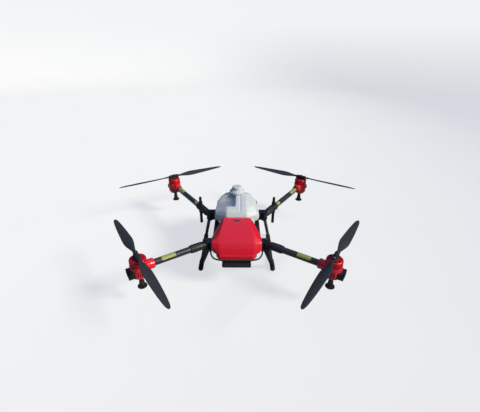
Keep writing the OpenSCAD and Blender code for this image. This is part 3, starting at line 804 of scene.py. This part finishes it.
def tank_cap():
    cap_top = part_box("tank_cap")[1].z
    skirt = TANK_TOP + 0.003
    profile = [
        (0, CAP_BORE_TOP), (CAP_BORE_R, CAP_BORE_TOP), (CAP_BORE_R, skirt),
        (0.0535, skirt), (0.054, skirt + 0.001), (0.054, skirt + 0.012),
        (0.0528, skirt + 0.0142), (0.0512, skirt + 0.0150), (0.0500, skirt + 0.0152),
        (0.0390, skirt + 0.0272), (0.0365, skirt + 0.0283), (0.0345, skirt + 0.0292),
        (0.0340, skirt + 0.0310), (0.0340, cap_top - 0.0070), (0.0334, cap_top - 0.0045),
        (0.0315, cap_top - 0.0018), (0.0290, cap_top - 0.0004), (0.0270, cap_top),
        (0.0130, cap_top), (0.0120, cap_top - 0.0012), (0, cap_top - 0.0012),
    ]
    bm = lathed(profile, 192, at=NECK, ripple=grip)
    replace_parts(piece("filler_cap", bm, grey_mould, "cap_body", sharp=35), "tank_cap")
    bm = bmesh.new()
    for k in range(16):
        place = NECK @ spun(k * 22.5)
        add_box(bm, (0.0338, -0.0012, skirt + 0.031), (0.0354, 0.0012, cap_top - 0.008), place)
    piece("cap_ribs", bm, grey_mould, "cap_body", bevel=0.0004)


# ---- Battery ----------------------------------------------------------------


def battery():
    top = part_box("battery")[1].z
    rear_y, pivot_y, pivot_z = 0.306, 0.314, 0.298
    bm = bmesh.new()
    add_prism(bm, round_outline(0.180, 0.150, 0.008, 6), TRAY_TOP, top, shifted(0, 0.231, 0))
    for k in range(6):
        y = 0.172 + k * 0.020
        bm = cut_box(bm, *centred_box(0.078, y, y + 0.006, top - 0.003, top + 0.01))
    for x in (-0.062, 0.062):
        bm = with_box(bm, (x - 0.005, 0.300, 0.290), (x + 0.005, 0.322, 0.306))
        bm = drilled(bm, 0.00305, -0.02, 0.02, 32, shifted(x, pivot_y, pivot_z, TURN_X))
    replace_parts(piece("battery_case", bm, battery_case, "battery_body", bevel=0.0016), "battery")
    bm = bmesh.new()
    panel_z = 0.302
    panel = round_outline(0.070, 0.012, 0.004)
    add_prism(bm, panel, -0.001, 0.0008, shifted(0, rear_y, panel_z, TURN_Y))
    knob = [(0, -0.001), (0.007, -0.001), (0.007, 0.002), (0.006, 0.003), (0, 0.0034)]
    add_lathe(bm, knob, 32, at=shifted(0.038, rear_y, 0.252, TURN_Y))
    piece("battery_panel", bm, black_mould, "battery_body", bevel=0.0006)
    bm = bmesh.new()
    for k in range(4):
        at = shifted(-0.018 + 0.012 * k, rear_y, panel_z, TURN_Y)
        add_lathe(bm, [(0, 0), (0.0016, 0), (0.0016, 0.0012), (0, 0.0016)], 16, at=at)
    piece("battery_lights", bm, green_led, "battery_body")
    bm = bmesh.new()
    add_rod(bm, 0.003, -0.070, 0.070, 24, shifted(0, pivot_y, pivot_z, TURN_X), 0.0004)
    for x in (-0.046, 0.046):
        side_arm = round_outline(0.010, 0.008, 0.002)
        add_prism(bm, side_arm, -0.046, 0.002, shifted(x, pivot_y, pivot_z))
    add_lathe(bm, grip_bar(0.051, 0.007), 32, at=shifted(0, pivot_y, pivot_z - 0.046, TURN_X))
    made = piece("carry_handle", bm, black_mould, "handle_body", bevel=0.0006)
    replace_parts(made, "battery_handle")


def grip_bar(half_length, radius):
    """The profile of a handle bar with shallow finger grooves."""
    steps = 48
    points = [(0, -half_length)]
    for k in range(steps + 1):
        x = -half_length + 2 * half_length * k / steps
        dip = 0.0008 * (0.5 - 0.5 * math.cos(2 * math.pi * x / 0.0204 + math.pi))
        end = min(1, (half_length - abs(x)) / 0.003)
        points.append(((radius - dip) * (0.8 + 0.2 * math.sqrt(max(0, end))), x))
    return points + [(0, half_length)]


# ---- Frame ------------------------------------------------------------------


def frame_trim():
    """Screws on the fork plates and rails, and ribs under the floor tray."""
    bm = bmesh.new()
    fork_top = ARM_Z + 0.030
    flip = Matrix.Rotation(math.pi, 4, "X")
    for side in SIDES:
        for y in (-0.337, -0.305, 0.029, 0.061):
            add_screw(bm, shifted(side * 0.142, y, fork_top - 0.0001), 0.0036)
            add_screw(bm, shifted(side * 0.142, y, ARM_Z - 0.030 + 0.0001, flip), 0.0036)
        for k in range(4):
            add_screw(bm, shifted(side * 0.146, 0.085 + k * 0.040, ARM_Z + 0.015), 0.003)
    piece("frame_screws", bm, bolt_steel)
    bm = bmesh.new()
    for y in (-0.300, -0.220, -0.140, 0.140, 0.220, 0.300):
        add_box(bm, *centred_box(0.118, y - 0.0015, y + 0.0015, 0.2175, 0.2222))
    for x in (-0.090, 0.090):
        add_box(bm, (x - 0.0015, -0.330, 0.2180), (x + 0.0015, 0.316, 0.2222))
    piece("tray_ribs", bm, black_mould, bevel=0.0006)


def hinge_bolts():
    bolts, washers = bmesh.new(), bmesh.new()
    corners = [k * math.pi / 3 for k in range(6)]
    head = [(0.011 * math.cos(angle), 0.011 * math.sin(angle)) for angle in corners]
    crown = [(0, 0.0370), (0.0088, 0.0370), (0.0080, 0.0380), (0, 0.0380)]
    for arm in ARMS:
        at = joint_at("arm_fold_" + arm)
        place = Matrix.Translation((at.x, at.y - ROTOR_Y, at.z))
        add_prism(bolts, head, 0.0312, 0.0375, place)
        add_lathe(bolts, crown, 32, at=place)
        add_rod(bolts, 0.0058, -0.045, 0.036, 32, place)
        add_sleeve(washers, 0.0058, 0.0125, 0.0300, 0.0313, 32, place)
    made = piece("fold_bolts", bolts, bolt_steel, bevel=0.0006)
    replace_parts(made, "hinge_bolts")
    piece("fold_washers", washers, dark_steel, bevel=0.0003)


def liquid_hose():
    pump_z, low_z = 0.262, 0.254
    route = [
        (-0.1082, -0.268, pump_z), (-0.117, -0.268, pump_z), (-0.117, -0.192, low_z),
        (-0.100, -0.182, low_z), (0.100, -0.182, low_z), (0.117, -0.196, low_z),
        (0.117, -0.284, low_z), (0.117, -0.314, ARM_Z), (0.136, -0.316, ARM_Z),
    ]
    bm = bmesh.new()
    add_sweep(bm, smooth_route(route, 0.014, 8), 0.006, 20)
    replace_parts(piece("pump_hose", bm, hose_rubber), "liquid_hoses")


# ---- Landing gear -----------------------------------------------------------

SKID_X = 0.250
SKID_Z = 0.017
LEG_Y = -0.212
FLANGE_Z = ARM_Z - 0.030


def leg_radius(share):
    """A front leg tapers downwards and has low rings."""
    return 0.0215 - 0.0075 * share + 0.0010 * math.cos(12 * math.pi * share) ** 8


def landing_gear():
    legs, tubes, feet, clamps = (bmesh.new() for _ in range(4))
    front_flange = [(0, -0.016), (0.020, -0.016), (0.023, -0.012), (0.023, 0), (0, 0)]
    rear_flange = [(0, -0.014), (0.018, -0.014), (0.020, -0.012), (0.020, 0), (0, 0)]
    cuff = [
        (SKID_FIT, -0.017), (0.0165, -0.017), (0.017, -0.0165),
        (0.017, 0.0165), (0.0165, 0.017), (SKID_FIT, 0.017),
    ]
    cap = [
        (0, -0.248), (0.012, -0.248), (0.0155, -0.2465), (0.017, -0.243), (0.017, -0.2315),
        (0.0165, -0.231), (SKID_FIT, -0.231), (SKID_FIT, -0.2381), (0, -0.2381),
    ]
    steps = 24
    for s in SIDES:
        high = Vector((s * 0.190, -0.321, FLANGE_Z - 0.006))
        low = Vector((s * SKID_X, LEG_Y, SKID_Z + 0.012))
        path = [high.lerp(low, k / steps) for k in range(steps + 1)]
        add_sweep(legs, path, leg_radius, 32)
        add_lathe(legs, front_flange, 48, at=shifted(s * 0.190, -0.321, FLANGE_Z))
        add_lathe(legs, cuff, 48, True, shifted(s * SKID_X, LEG_Y, SKID_Z, TURN_Y))
        top = (s * 0.206, 0.051, FLANGE_Z - 0.013)
        route = [(s * SKID_X, -0.238, SKID_Z), (s * SKID_X, 0.205, SKID_Z), top]
        add_sweep(tubes, smooth_route(route, 0.030, 12), SKID_R, 32)
        add_lathe(tubes, rear_flange, 48, at=shifted(s * 0.200, 0.045, FLANGE_Z))
        add_foot(feet, s * SKID_X, -0.194, -0.148)
        add_foot(feet, s * SKID_X, 0.125, 0.173)
        add_lathe(feet, cap, 48, at=shifted(s * SKID_X, 0, SKID_Z, TURN_Y))
        outward = Matrix.Rotation(s * math.pi / 2, 4, "Y")
        for y in (LEG_Y + 0.013, LEG_Y - 0.013):
            add_screw(clamps, shifted(s * (SKID_X + 0.0166), y, SKID_Z, outward), 0.0026)
    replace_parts(piece("front_leg_castings", legs, black_coat, bevel=0.0008), "front_legs")
    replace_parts(piece("skid_rods", tubes, skid_carbon), "skid_tubes")
    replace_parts(piece("skid_feet", feet, foot_rubber, bevel=0.0008), "skid_caps")
    piece("skid_clamp_screws", clamps, bolt_steel)


def add_foot(bm, x, low, high):
    """A ribbed rubber shoe round a skid tube, flat underneath."""
    angles = [2 * math.pi * k / 48 for k in range(48)]
    inner = [(SKID_FIT * math.cos(angle), SKID_FIT * math.sin(angle)) for angle in angles]
    outer = []
    for angle in angles:
        px, pz = 0.017 * math.cos(angle), 0.017 * math.sin(angle)
        outer.append((px, -SKID_Z if pz < 0 and abs(px) < 0.011 else pz))
    ribs, valley = 7, 0.955
    stations = []
    for k in range(ribs):
        start = low + (high - low) * k / ribs
        end = low + (high - low) * (k + 1) / ribs
        stations += [
            (start + 0.0004, valley), (start + 0.0014, 1),
            (end - 0.0014, 1), (end - 0.0004, valley),
        ]
    stations[0], stations[-1] = (low, valley), (high, valley)
    rings = []
    for y, share in stations:
        ring = []
        for px, pz in outer:
            shrink = share if pz > -0.0165 else 1
            ring.append(bm.verts.new((x + px * shrink, y, SKID_Z + pz * shrink)))
        rings.append(ring)
    for y in (high, low):
        rings.append([bm.verts.new((x + px, y, SKID_Z + pz)) for px, pz in inner])
    for first, second in zip(rings, rings[1:] + rings[:1]):
        add_faces(bm, first, second)


# ---- Arms -------------------------------------------------------------------


def arm_parts(arm):
    place, hand, body, length = arm_frame(arm), handed(arm), "arm_" + arm, arm_length(arm)
    start, end = 0.060, length - 0.045
    tube = [
        (0.018, start), (ARM_TUBE_R - 0.0002, start), (ARM_TUBE_R, start + 0.0002),
        (ARM_TUBE_R, end), (0.018, end),
    ]
    bm = lathed(tube, 64, True, TURN_X)
    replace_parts(piece("carbon_arm_" + arm, bm, arm_carbon, body, place, hand), "arm_tube_" + arm)
    eye_r = 0.0061
    knuckle = [
        (eye_r, -0.0218), (0.0215, -0.0218), (0.022, -0.0213),
        (0.022, 0.0213), (0.0215, 0.0218), (eye_r, 0.0218),
    ]
    bm = lathed(knuckle, 64, True)
    sleeve = [
        (0, 0.012), (0.0215, 0.012), (0.0245, 0.034), (0.0255, 0.036), (0.026, 0.038),
        (0.026, 0.098), (0.0252, 0.102), (0.0252, 0.110), (0.0246, 0.112),
        (ARM_TUBE_FIT, 0.112), (ARM_TUBE_FIT, start), (0, start),
    ]
    barrel = lathed(sleeve, 64, at=TURN_X)
    barrel = cut_box(barrel, (0.0, -0.04, 0.0213), (0.05, 0.04, 0.06))
    barrel = cut_box(barrel, (0.0, -0.04, -0.06), (0.05, 0.04, -0.0213))
    bm = boolean(bm, barrel, "UNION")
    bm = drilled(bm, eye_r, -0.05, 0.05)
    made = piece("arm_knuckle_" + arm, bm, black_coat, body, place, hand, 35, 0.0006)
    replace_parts(made, "arm_root_" + arm)
    bm = bmesh.new()
    for x in (0.078, 0.094):
        for angle in (60, 120, 240, 300):
            turn = Matrix.Rotation(math.radians(angle - 90), 4, "X")
            add_screw(bm, turn @ Matrix.Translation((x, 0, 0.0258)), 0.0026)
    piece("arm_screws_" + arm, bm, bolt_steel, body, place, hand)
    patches = [(length - 0.217, length - 0.132)]
    if arm[0] == "r":
        patches = [(0.176, 0.216), (length - 0.205, length - 0.110)]
    bm = bmesh.new()
    for low, high in patches:
        add_patch(bm, low, high)
    piece("arm_bands_" + arm, bm, tape, body, place, hand)


def add_patch(bm, low, high):
    """A thin film on an arm tube, from low to high along it, on the upper part of its -Y side."""
    steps = 12
    angles = [math.radians(80 + 80 * k / steps) for k in range(steps + 1)]
    top = ARM_TUBE_R + 0.0003
    rings = []
    for x in (low, high):
        outer = [(x, top * math.cos(t), top * math.sin(t)) for t in angles]
        inner = [(x, ARM_TUBE_R * math.cos(t), ARM_TUBE_R * math.sin(t)) for t in reversed(angles)]
        rings.append(outer + inner)
    add_loft(bm, rings)


def pod_parts(arm):
    place, hand, body = pod_frame(arm), handed(arm), "arm_" + arm
    cover = [
        (0.0155, -0.062), (0.0285, -0.062), (0.0305, -0.0612), (0.0488, -0.0452),
        (0.0500, -0.0425), (0.0500, 0.0255), (0.0494, 0.0272), (0.0480, 0.0280),
        (0.0470, 0.0280), (0.0470, -0.0420), (0.0288, -0.0590), (0.0155, -0.0590),
    ]
    bm = lathed(cover, 96, True)
    collar = [
        (0, -0.086), (0.0275, -0.086), (0.0292, -0.0848),
        (0.0300, -0.083), (0.0300, -0.030), (0, -0.030),
    ]
    collar = drilled(lathed(collar, 64, at=TURN_X), 0.0470, -0.0420, 0.05, 96)
    bm = boolean(bm, collar, "UNION")
    bm = drilled(bm, 0.0265, -0.082, -0.020, 64, TURN_X)
    bm = drilled(bm, 0.0206, -0.090, -0.080, 64, TURN_X)
    bm = cut_box(bm, (0.023, -0.037, -0.045), (0.083, 0.037, 0.003))
    for side in SIDES:
        for k in range(3):
            tilt = spun(side * (66 + 12 * k))
            bm = cut_box(bm, (0.044, -0.0022, -0.030), (0.056, 0.0022, 0.004), tilt)
    made = piece("motor_cover_" + arm, bm, red_shell, body, place, hand, 35, 0.0006)
    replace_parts(made, "pod_shell_" + arm)
    bm = bmesh.new()
    for x in (-0.076, -0.058):
        for angle in (45, -45):
            turn = Matrix.Rotation(math.radians(angle), 4, "X")
            add_screw(bm, turn @ Matrix.Translation((x, 0, 0.0299)), 0.0026)
    below = shifted(0.022, 0, -0.0619, Matrix.Rotation(math.pi, 4, "X"))
    for k in range(4):
        add_screw(bm, spun(45 + 90 * k) @ below, 0.0026)
    piece("cover_screws_" + arm, bm, dark_steel, body, place, hand)
    bm = bmesh.new()
    facing = shifted(0.0402, 0, -0.0534, Matrix.Rotation(math.radians(131), 4, "Y"))
    add_prism(bm, round_outline(0.011, 0.034, 0.005, 6), -0.0008, 0.0018, spun(-125) @ facing)
    piece("pod_lamp_" + arm, bm, lamp_lens, body, place, hand, 35, 0.0008)
    nozzle_parts(arm, place, hand, body)


def nozzle_parts(arm, place, hand, body):
    profile = [
        (0, -0.024), (0.0130, -0.024), (0.0130, -0.060), (0.0150, -0.0635),
        (0.0152, -0.068), (0.0132, -0.071), (0.0128, -0.088), (0.0136, -0.090),
        (0.0158, -0.105), (0.0168, -0.115), (0.0170, -0.1185), (0, -0.1185),
    ]
    bm = lathed(profile, 64)
    made = piece("nozzle_stem_" + arm, bm, nozzle_mould, body, place, hand, 35)
    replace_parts(made, "nozzle_" + arm)
    low, high = (corner.z - ARM_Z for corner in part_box("spray_disc_" + arm))
    radius = 0.0285

    def teeth(angle, height):
        return 0.98 if height < low + 0.005 and math.cos(48 * angle) < 0 else 1

    profile = [
        (0, high), (0.006, high), (0.006, low + 0.0062), (0.014, low + 0.0058),
        (radius - 0.002, low + 0.0044), (radius, low + 0.0040), (radius, low + 0.0012),
        (radius - 0.0012, low), (0.010, low), (0.008, low + 0.0008), (0, low + 0.0008),
    ]
    bm = lathed(profile, 96, ripple=teeth)
    made = piece("disc_" + arm, bm, black_mould, "disc_body_" + arm, place, hand, 35)
    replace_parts(made, "spray_disc_" + arm)


def motor_mount(arm):
    """The black mount inside the cover; its finned heat sink reaches out through the window."""
    place, hand, body = pod_frame(arm), handed(arm), "arm_" + arm
    seat = [
        (0.0121, -0.042), (0.0400, -0.042), (0.0400, 0.022), (0.0435, 0.0222),
        (0.0440, 0.0228), (0.0440, 0.0274), (0.0434, 0.028), (0.0121, 0.028),
    ]
    bm = lathed(seat, 64, True)
    sink = bmesh.new()
    turn = Matrix(((0, 0, 1), (1, 0, 0), (0, 1, 0))).to_4x4()
    block = round_outline(0.072, 0.046, 0.012, 8)
    add_prism(sink, block, 0.030, 0.069, shifted(0, 0, -0.021, turn))
    for k in range(7):
        low = -0.033 + 0.010 * k
        sink = cut_box(sink, (0.057, low, -0.05), (0.08, low + 0.006, 0.01))
    bm = boolean(bm, sink, "UNION")
    made = piece("motor_mount_" + arm, bm, black_coat, body, place, hand, 35, 0.0006)
    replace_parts(made, "pod_base_" + arm)
    bm = bmesh.new()
    add_sleeve(bm, ARM_TUBE_FIT, 0.0260, -0.080, -0.040, 64, TURN_X)
    piece("tube_socket_" + arm, bm, black_coat, body, place, hand, 35, 0.0006)


PROP_R = 0.457
BLADE_PIVOT = 0.030
BLADE_REACH = PROP_R - BLADE_PIVOT
BLADE_PLAN = [  # share of the reach, chord, pitch in degrees, thickness
    (0.045, 0.020, 15, 0.0090), (0.08, 0.024, 17, 0.0088), (0.14, 0.036, 18, 0.0080),
    (0.22, 0.052, 17.5, 0.0072), (0.30, 0.060, 16, 0.0065), (0.40, 0.0585, 14, 0.0057),
    (0.50, 0.055, 12, 0.0050), (0.60, 0.051, 10.3, 0.0045), (0.70, 0.046, 9, 0.0040),
    (0.80, 0.0400, 7.7, 0.0036), (0.88, 0.0340, 6.9, 0.0031), (0.94, 0.0275, 6.3, 0.0027),
    (0.98, 0.0190, 6, 0.0023), (1.0, 0.0080, 6, 0.0019),
]


def propeller(arm):
    """The motor's turning bell, the hub plates, their screws and the two blades."""
    place, hand, body = prop_frame(arm), handed(arm), "rotor_body_" + arm
    down = ARM_Z - PROP_Z
    low, high, bell_r = down + 0.031, down + 0.069, 0.048
    profile = [
        (0, high - 0.0005), (0.0200, high - 0.0005), (0.0215, high), (bell_r - 0.0105, high),
        (bell_r - 0.0060, high - 0.0012), (bell_r - 0.0022, high - 0.0040),
        (bell_r - 0.0004, high - 0.0085), (bell_r, high - 0.0110), (bell_r, low + 0.0012),
        (bell_r - 0.0008, low), (bell_r - 0.0035, low), (bell_r - 0.0035, high - 0.0100),
        (bell_r - 0.0100, high - 0.0060), (0, high - 0.0060),
    ]
    bm = lathed(profile, 96)
    for k in range(8):
        turn = spun(45 * k + 22.5)
        bm = cut_box(bm, (0.024, -0.0055, high - 0.012), (0.0375, 0.0055, high + 0.01), turn)
    shaft = bmesh.new()
    add_rod(shaft, 0.006, down - 0.008, high - 0.002, 32)
    bm = boolean(bm, shaft, "UNION")
    made = piece("motor_bell_" + arm, bm, red_bell, body, place, hand, 35, 0.0006)
    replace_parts(made, "rotor_" + arm)
    bm = bmesh.new()
    eye_r = 0.013
    outline = []
    for k in range(64):
        angle = 2 * math.pi * k / 64
        end = BLADE_PIVOT if math.cos(angle) > 0 else -BLADE_PIVOT
        outline.append((eye_r * math.cos(angle) + end, eye_r * math.sin(angle)))
    add_prism(bm, outline, -0.0101, -0.0051)
    add_prism(bm, outline, 0.0051, 0.0101)
    spacer = [
        (0, high - 0.001), (0.020, high - 0.001), (0.020, -0.0115),
        (0.018, -0.0101), (0, -0.0101),
    ]
    add_lathe(bm, spacer, 64)
    add_rod(bm, eye_r, -0.0051, 0.0051, 64)
    boss = [(0, 0.0101), (0.0100, 0.0101), (0.0100, 0.0150), (0.0085, 0.0162), (0, 0.0162)]
    add_lathe(bm, boss, 48)
    piece("hub_clamp_" + arm, bm, black_coat, body, place, hand, 35, 0.0006)
    bm = bmesh.new()
    for x in (-BLADE_PIVOT, BLADE_PIVOT):
        add_rod(bm, 0.00395, -0.009, 0.009, 32, shifted(x, 0, 0))
        add_screw(bm, shifted(x, 0, 0.0100), 0.0062, 0.0036)
    for k in range(4):
        add_screw(bm, spun(45 + 90 * k) @ Matrix.Translation((0.0155, 0, high - 0.0004)), 0.0022)
    piece("hub_screws_" + arm, bm, bolt_steel, body, place, hand)
    pitched = hand if arm[0] == "f" else -hand
    for name, turn in (("a", 0), ("b", 180)):
        blade(name, arm, place @ spun(turn) @ Matrix.Translation((BLADE_PIVOT, 0, 0)), pitched)


def blade(name, arm, place, hand):
    """A folding blade: a smooth aerofoil loft with a drilled root eye."""
    count = 20
    rings = []
    for share, chord, pitch, thick in BLADE_PLAN:
        cos, sin = math.cos(math.radians(pitch)), math.sin(math.radians(pitch))
        ring = []
        for k in range(2 * count):
            t = k / count if k < count else 2 - k / count
            nose = 0.5 - 0.5 * math.cos(math.pi * t)
            camber = 0.10 * thick * 4 * nose * (1 - nose)
            half = 0.5 * thick * (2.6 * math.sqrt(nose) * (1 - nose) + 0.18 * (1 - nose) + 0.05)
            y = chord * (0.5 - nose)
            z = camber + (half if k < count else -half)
            ring.append((share * BLADE_REACH, y * cos - z * sin, y * sin + z * cos))
        rings.append(ring)
    bm = bmesh.new()
    add_loft(bm, rings)
    root = bmesh.new()
    add_rod(root, 0.0125, -0.005, 0.005, 48, edge=0.0005)
    bm = boolean(bm, root, "UNION")
    bm = with_box(bm, (0, -0.009, -0.004), (BLADE_REACH * 0.09, 0.009, 0.004))
    bm = drilled(bm, 0.00405, -0.01, 0.01)
    bm.transform(place @ Matrix.Diagonal((1, hand, 1, 1)))
    body = f"blade_{name}_body_{arm}"
    made = piece(f"blade_{name}_skin_{arm}", bm, blade_mould, body, IDENTITY, sharp=45)
    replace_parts(made, f"blade_{name}_{arm}")


def antenna(arm, node):
    place = arm_frame(arm) @ Matrix.Translation((0.138, 0, 0))
    hand, body = handed(arm), "arm_" + arm
    mast = [
        (0, -0.135), (0.0095, -0.135), (0.011, -0.1335), (0.011, -0.044), (0.0145, -0.044),
        (0.015, -0.0435), (0.015, 0.0455), (0.0145, 0.046), (0.0105, 0.046), (0.0102, 0.080),
        (0.0090, 0.085), (0.0060, 0.087), (0, 0.087),
    ]
    bm = lathed(mast, 48)
    clamp = bmesh.new()
    add_rod(clamp, 0.027, -0.026, 0.026, 64, TURN_X, 0.0008)
    bm = boolean(bm, clamp, "UNION")
    bm = drilled(bm, ARM_TUBE_FIT, -0.04, 0.04, 64, TURN_X)
    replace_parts(piece("antenna_mast_" + arm, bm, black_mould, body, place, hand, 35, 0.0005), node)
    bm = bmesh.new()
    for x in (-0.019, 0.019):
        for side in SIDES:
            outward = Matrix.Rotation(-side * math.pi / 2, 4, "X")
            add_screw(bm, shifted(x, side * 0.0268, 0, outward), 0.0026)
    piece("antenna_screws_" + arm, bm, bolt_steel, body, place, hand)


# ---- The whole aircraft -----------------------------------------------------

nose_cowl()
nose_trim()
front_radar()
front_hoop()
tank()
filler_neck()
tank_cap()
battery()
frame_trim()
hinge_bolts()
liquid_hose()
landing_gear()
for arm in ARMS:
    arm_parts(arm)
    pod_parts(arm)
    motor_mount(arm)
    propeller(arm)
    dress("motor_stator_" + arm, windings)
antenna("rl", "antenna_left")
antenna("rr", "antenna_right")
dress("frame_rails", rail_metal)
dress("frame_cross_tubes", arm_carbon)
dress("belly_pan", black_mould)
dress("flight_controller", circuit_case)
dress("pump_body", pump_metal)


# ---- Floor, light and camera ------------------------------------------------


def studio():
    """A pale floor that curves up into a wall all round, far outside the object."""
    bm = bmesh.new()
    radius, bend, height = 9.0, 3.0, 7.0
    profile = [(0, 0), (radius, 0)]
    for k in range(1, 13):
        angle = math.radians(90 * k / 12)
        profile.append((radius + bend * math.sin(angle), bend - bend * math.cos(angle)))
    profile.append((radius + bend, height))
    add_lathe(bm, profile, 96)
    mesh = bpy.data.meshes.new("floor")
    bm.to_mesh(mesh)
    bm.free()
    mesh.shade_smooth()
    mesh.materials.append(pale_floor("pale_floor"))
    floor = bpy.data.objects.new("floor", mesh)
    bpy.context.scene.collection.objects.link(floor)
    floor.location.z = -0.0005


def sun_light(name, towards, spread, strength, colour):
    """A soft light from a direction; spread is how wide the source looks, in degrees."""
    data = bpy.data.lights.new(name, "SUN")
    data.angle = math.radians(spread)
    data.energy = strength
    data.color = colour
    light = bpy.data.objects.new(name, data)
    light.location = unit(Vector(towards)) * 4
    light.rotation_euler = Vector(towards).to_track_quat("Z", "Y").to_euler()
    bpy.context.scene.collection.objects.link(light)


def sky():
    """A weak bluish light from all round; the camera itself sees it pale, like the floor."""
    world = bpy.data.worlds.new("sky")
    world.use_nodes = True
    tree = world.node_tree
    light = tree.nodes["Background"]
    light.inputs["Color"].default_value = (0.40, 0.57, 1.0, 1)
    light.inputs["Strength"].default_value = 0.42
    pale = tree.nodes.new("ShaderNodeBackground")
    pale.inputs["Color"].default_value = (0.88, 0.90, 0.93, 1)
    chosen = tree.nodes.new("ShaderNodeMixShader")
    seen = tree.nodes.new("ShaderNodeLightPath").outputs["Is Camera Ray"]
    tree.links.new(seen, chosen.inputs["Fac"])
    tree.links.new(light.outputs["Background"], chosen.inputs[1])
    tree.links.new(pale.outputs["Background"], chosen.inputs[2])
    tree.links.new(chosen.outputs["Shader"], tree.nodes["World Output"].inputs["Surface"])
    bpy.context.scene.world = world


def camera():
    """The camera that shows the aircraft from in front and above, as the reference view does."""
    pitch, yaw, roll = math.radians(28.86), math.radians(0.285), math.radians(0.369)
    data = bpy.data.cameras.new("camera")
    data.sensor_width = 36.0
    data.lens = 23.12
    data.clip_end = 100
    made = bpy.data.objects.new("camera", data)
    level = math.cos(pitch)
    ahead = Vector((math.sin(yaw) * level, math.cos(yaw) * level, -math.sin(pitch)))
    right = Vector((math.cos(yaw), -math.sin(yaw), 0))
    up = right.cross(ahead)
    level_right = math.cos(roll) * right + math.sin(roll) * up
    level_up = math.cos(roll) * up - math.sin(roll) * right
    turn = Matrix((level_right, level_up, -ahead)).transposed().to_4x4()
    made.matrix_world = Matrix.Translation((0.0118, -1.9101 + ROTOR_Y, 1.4352)) @ turn
    bpy.context.scene.collection.objects.link(made)
    bpy.context.scene.camera = made


studio()
sun_light("key", (1.0, -0.38, 0.74), 16, 3.8, (1.0, 0.95, 0.78))
sky()
bpy.context.scene.view_settings.view_transform = "Standard"
camera()

bpy.context.view_layer.update()
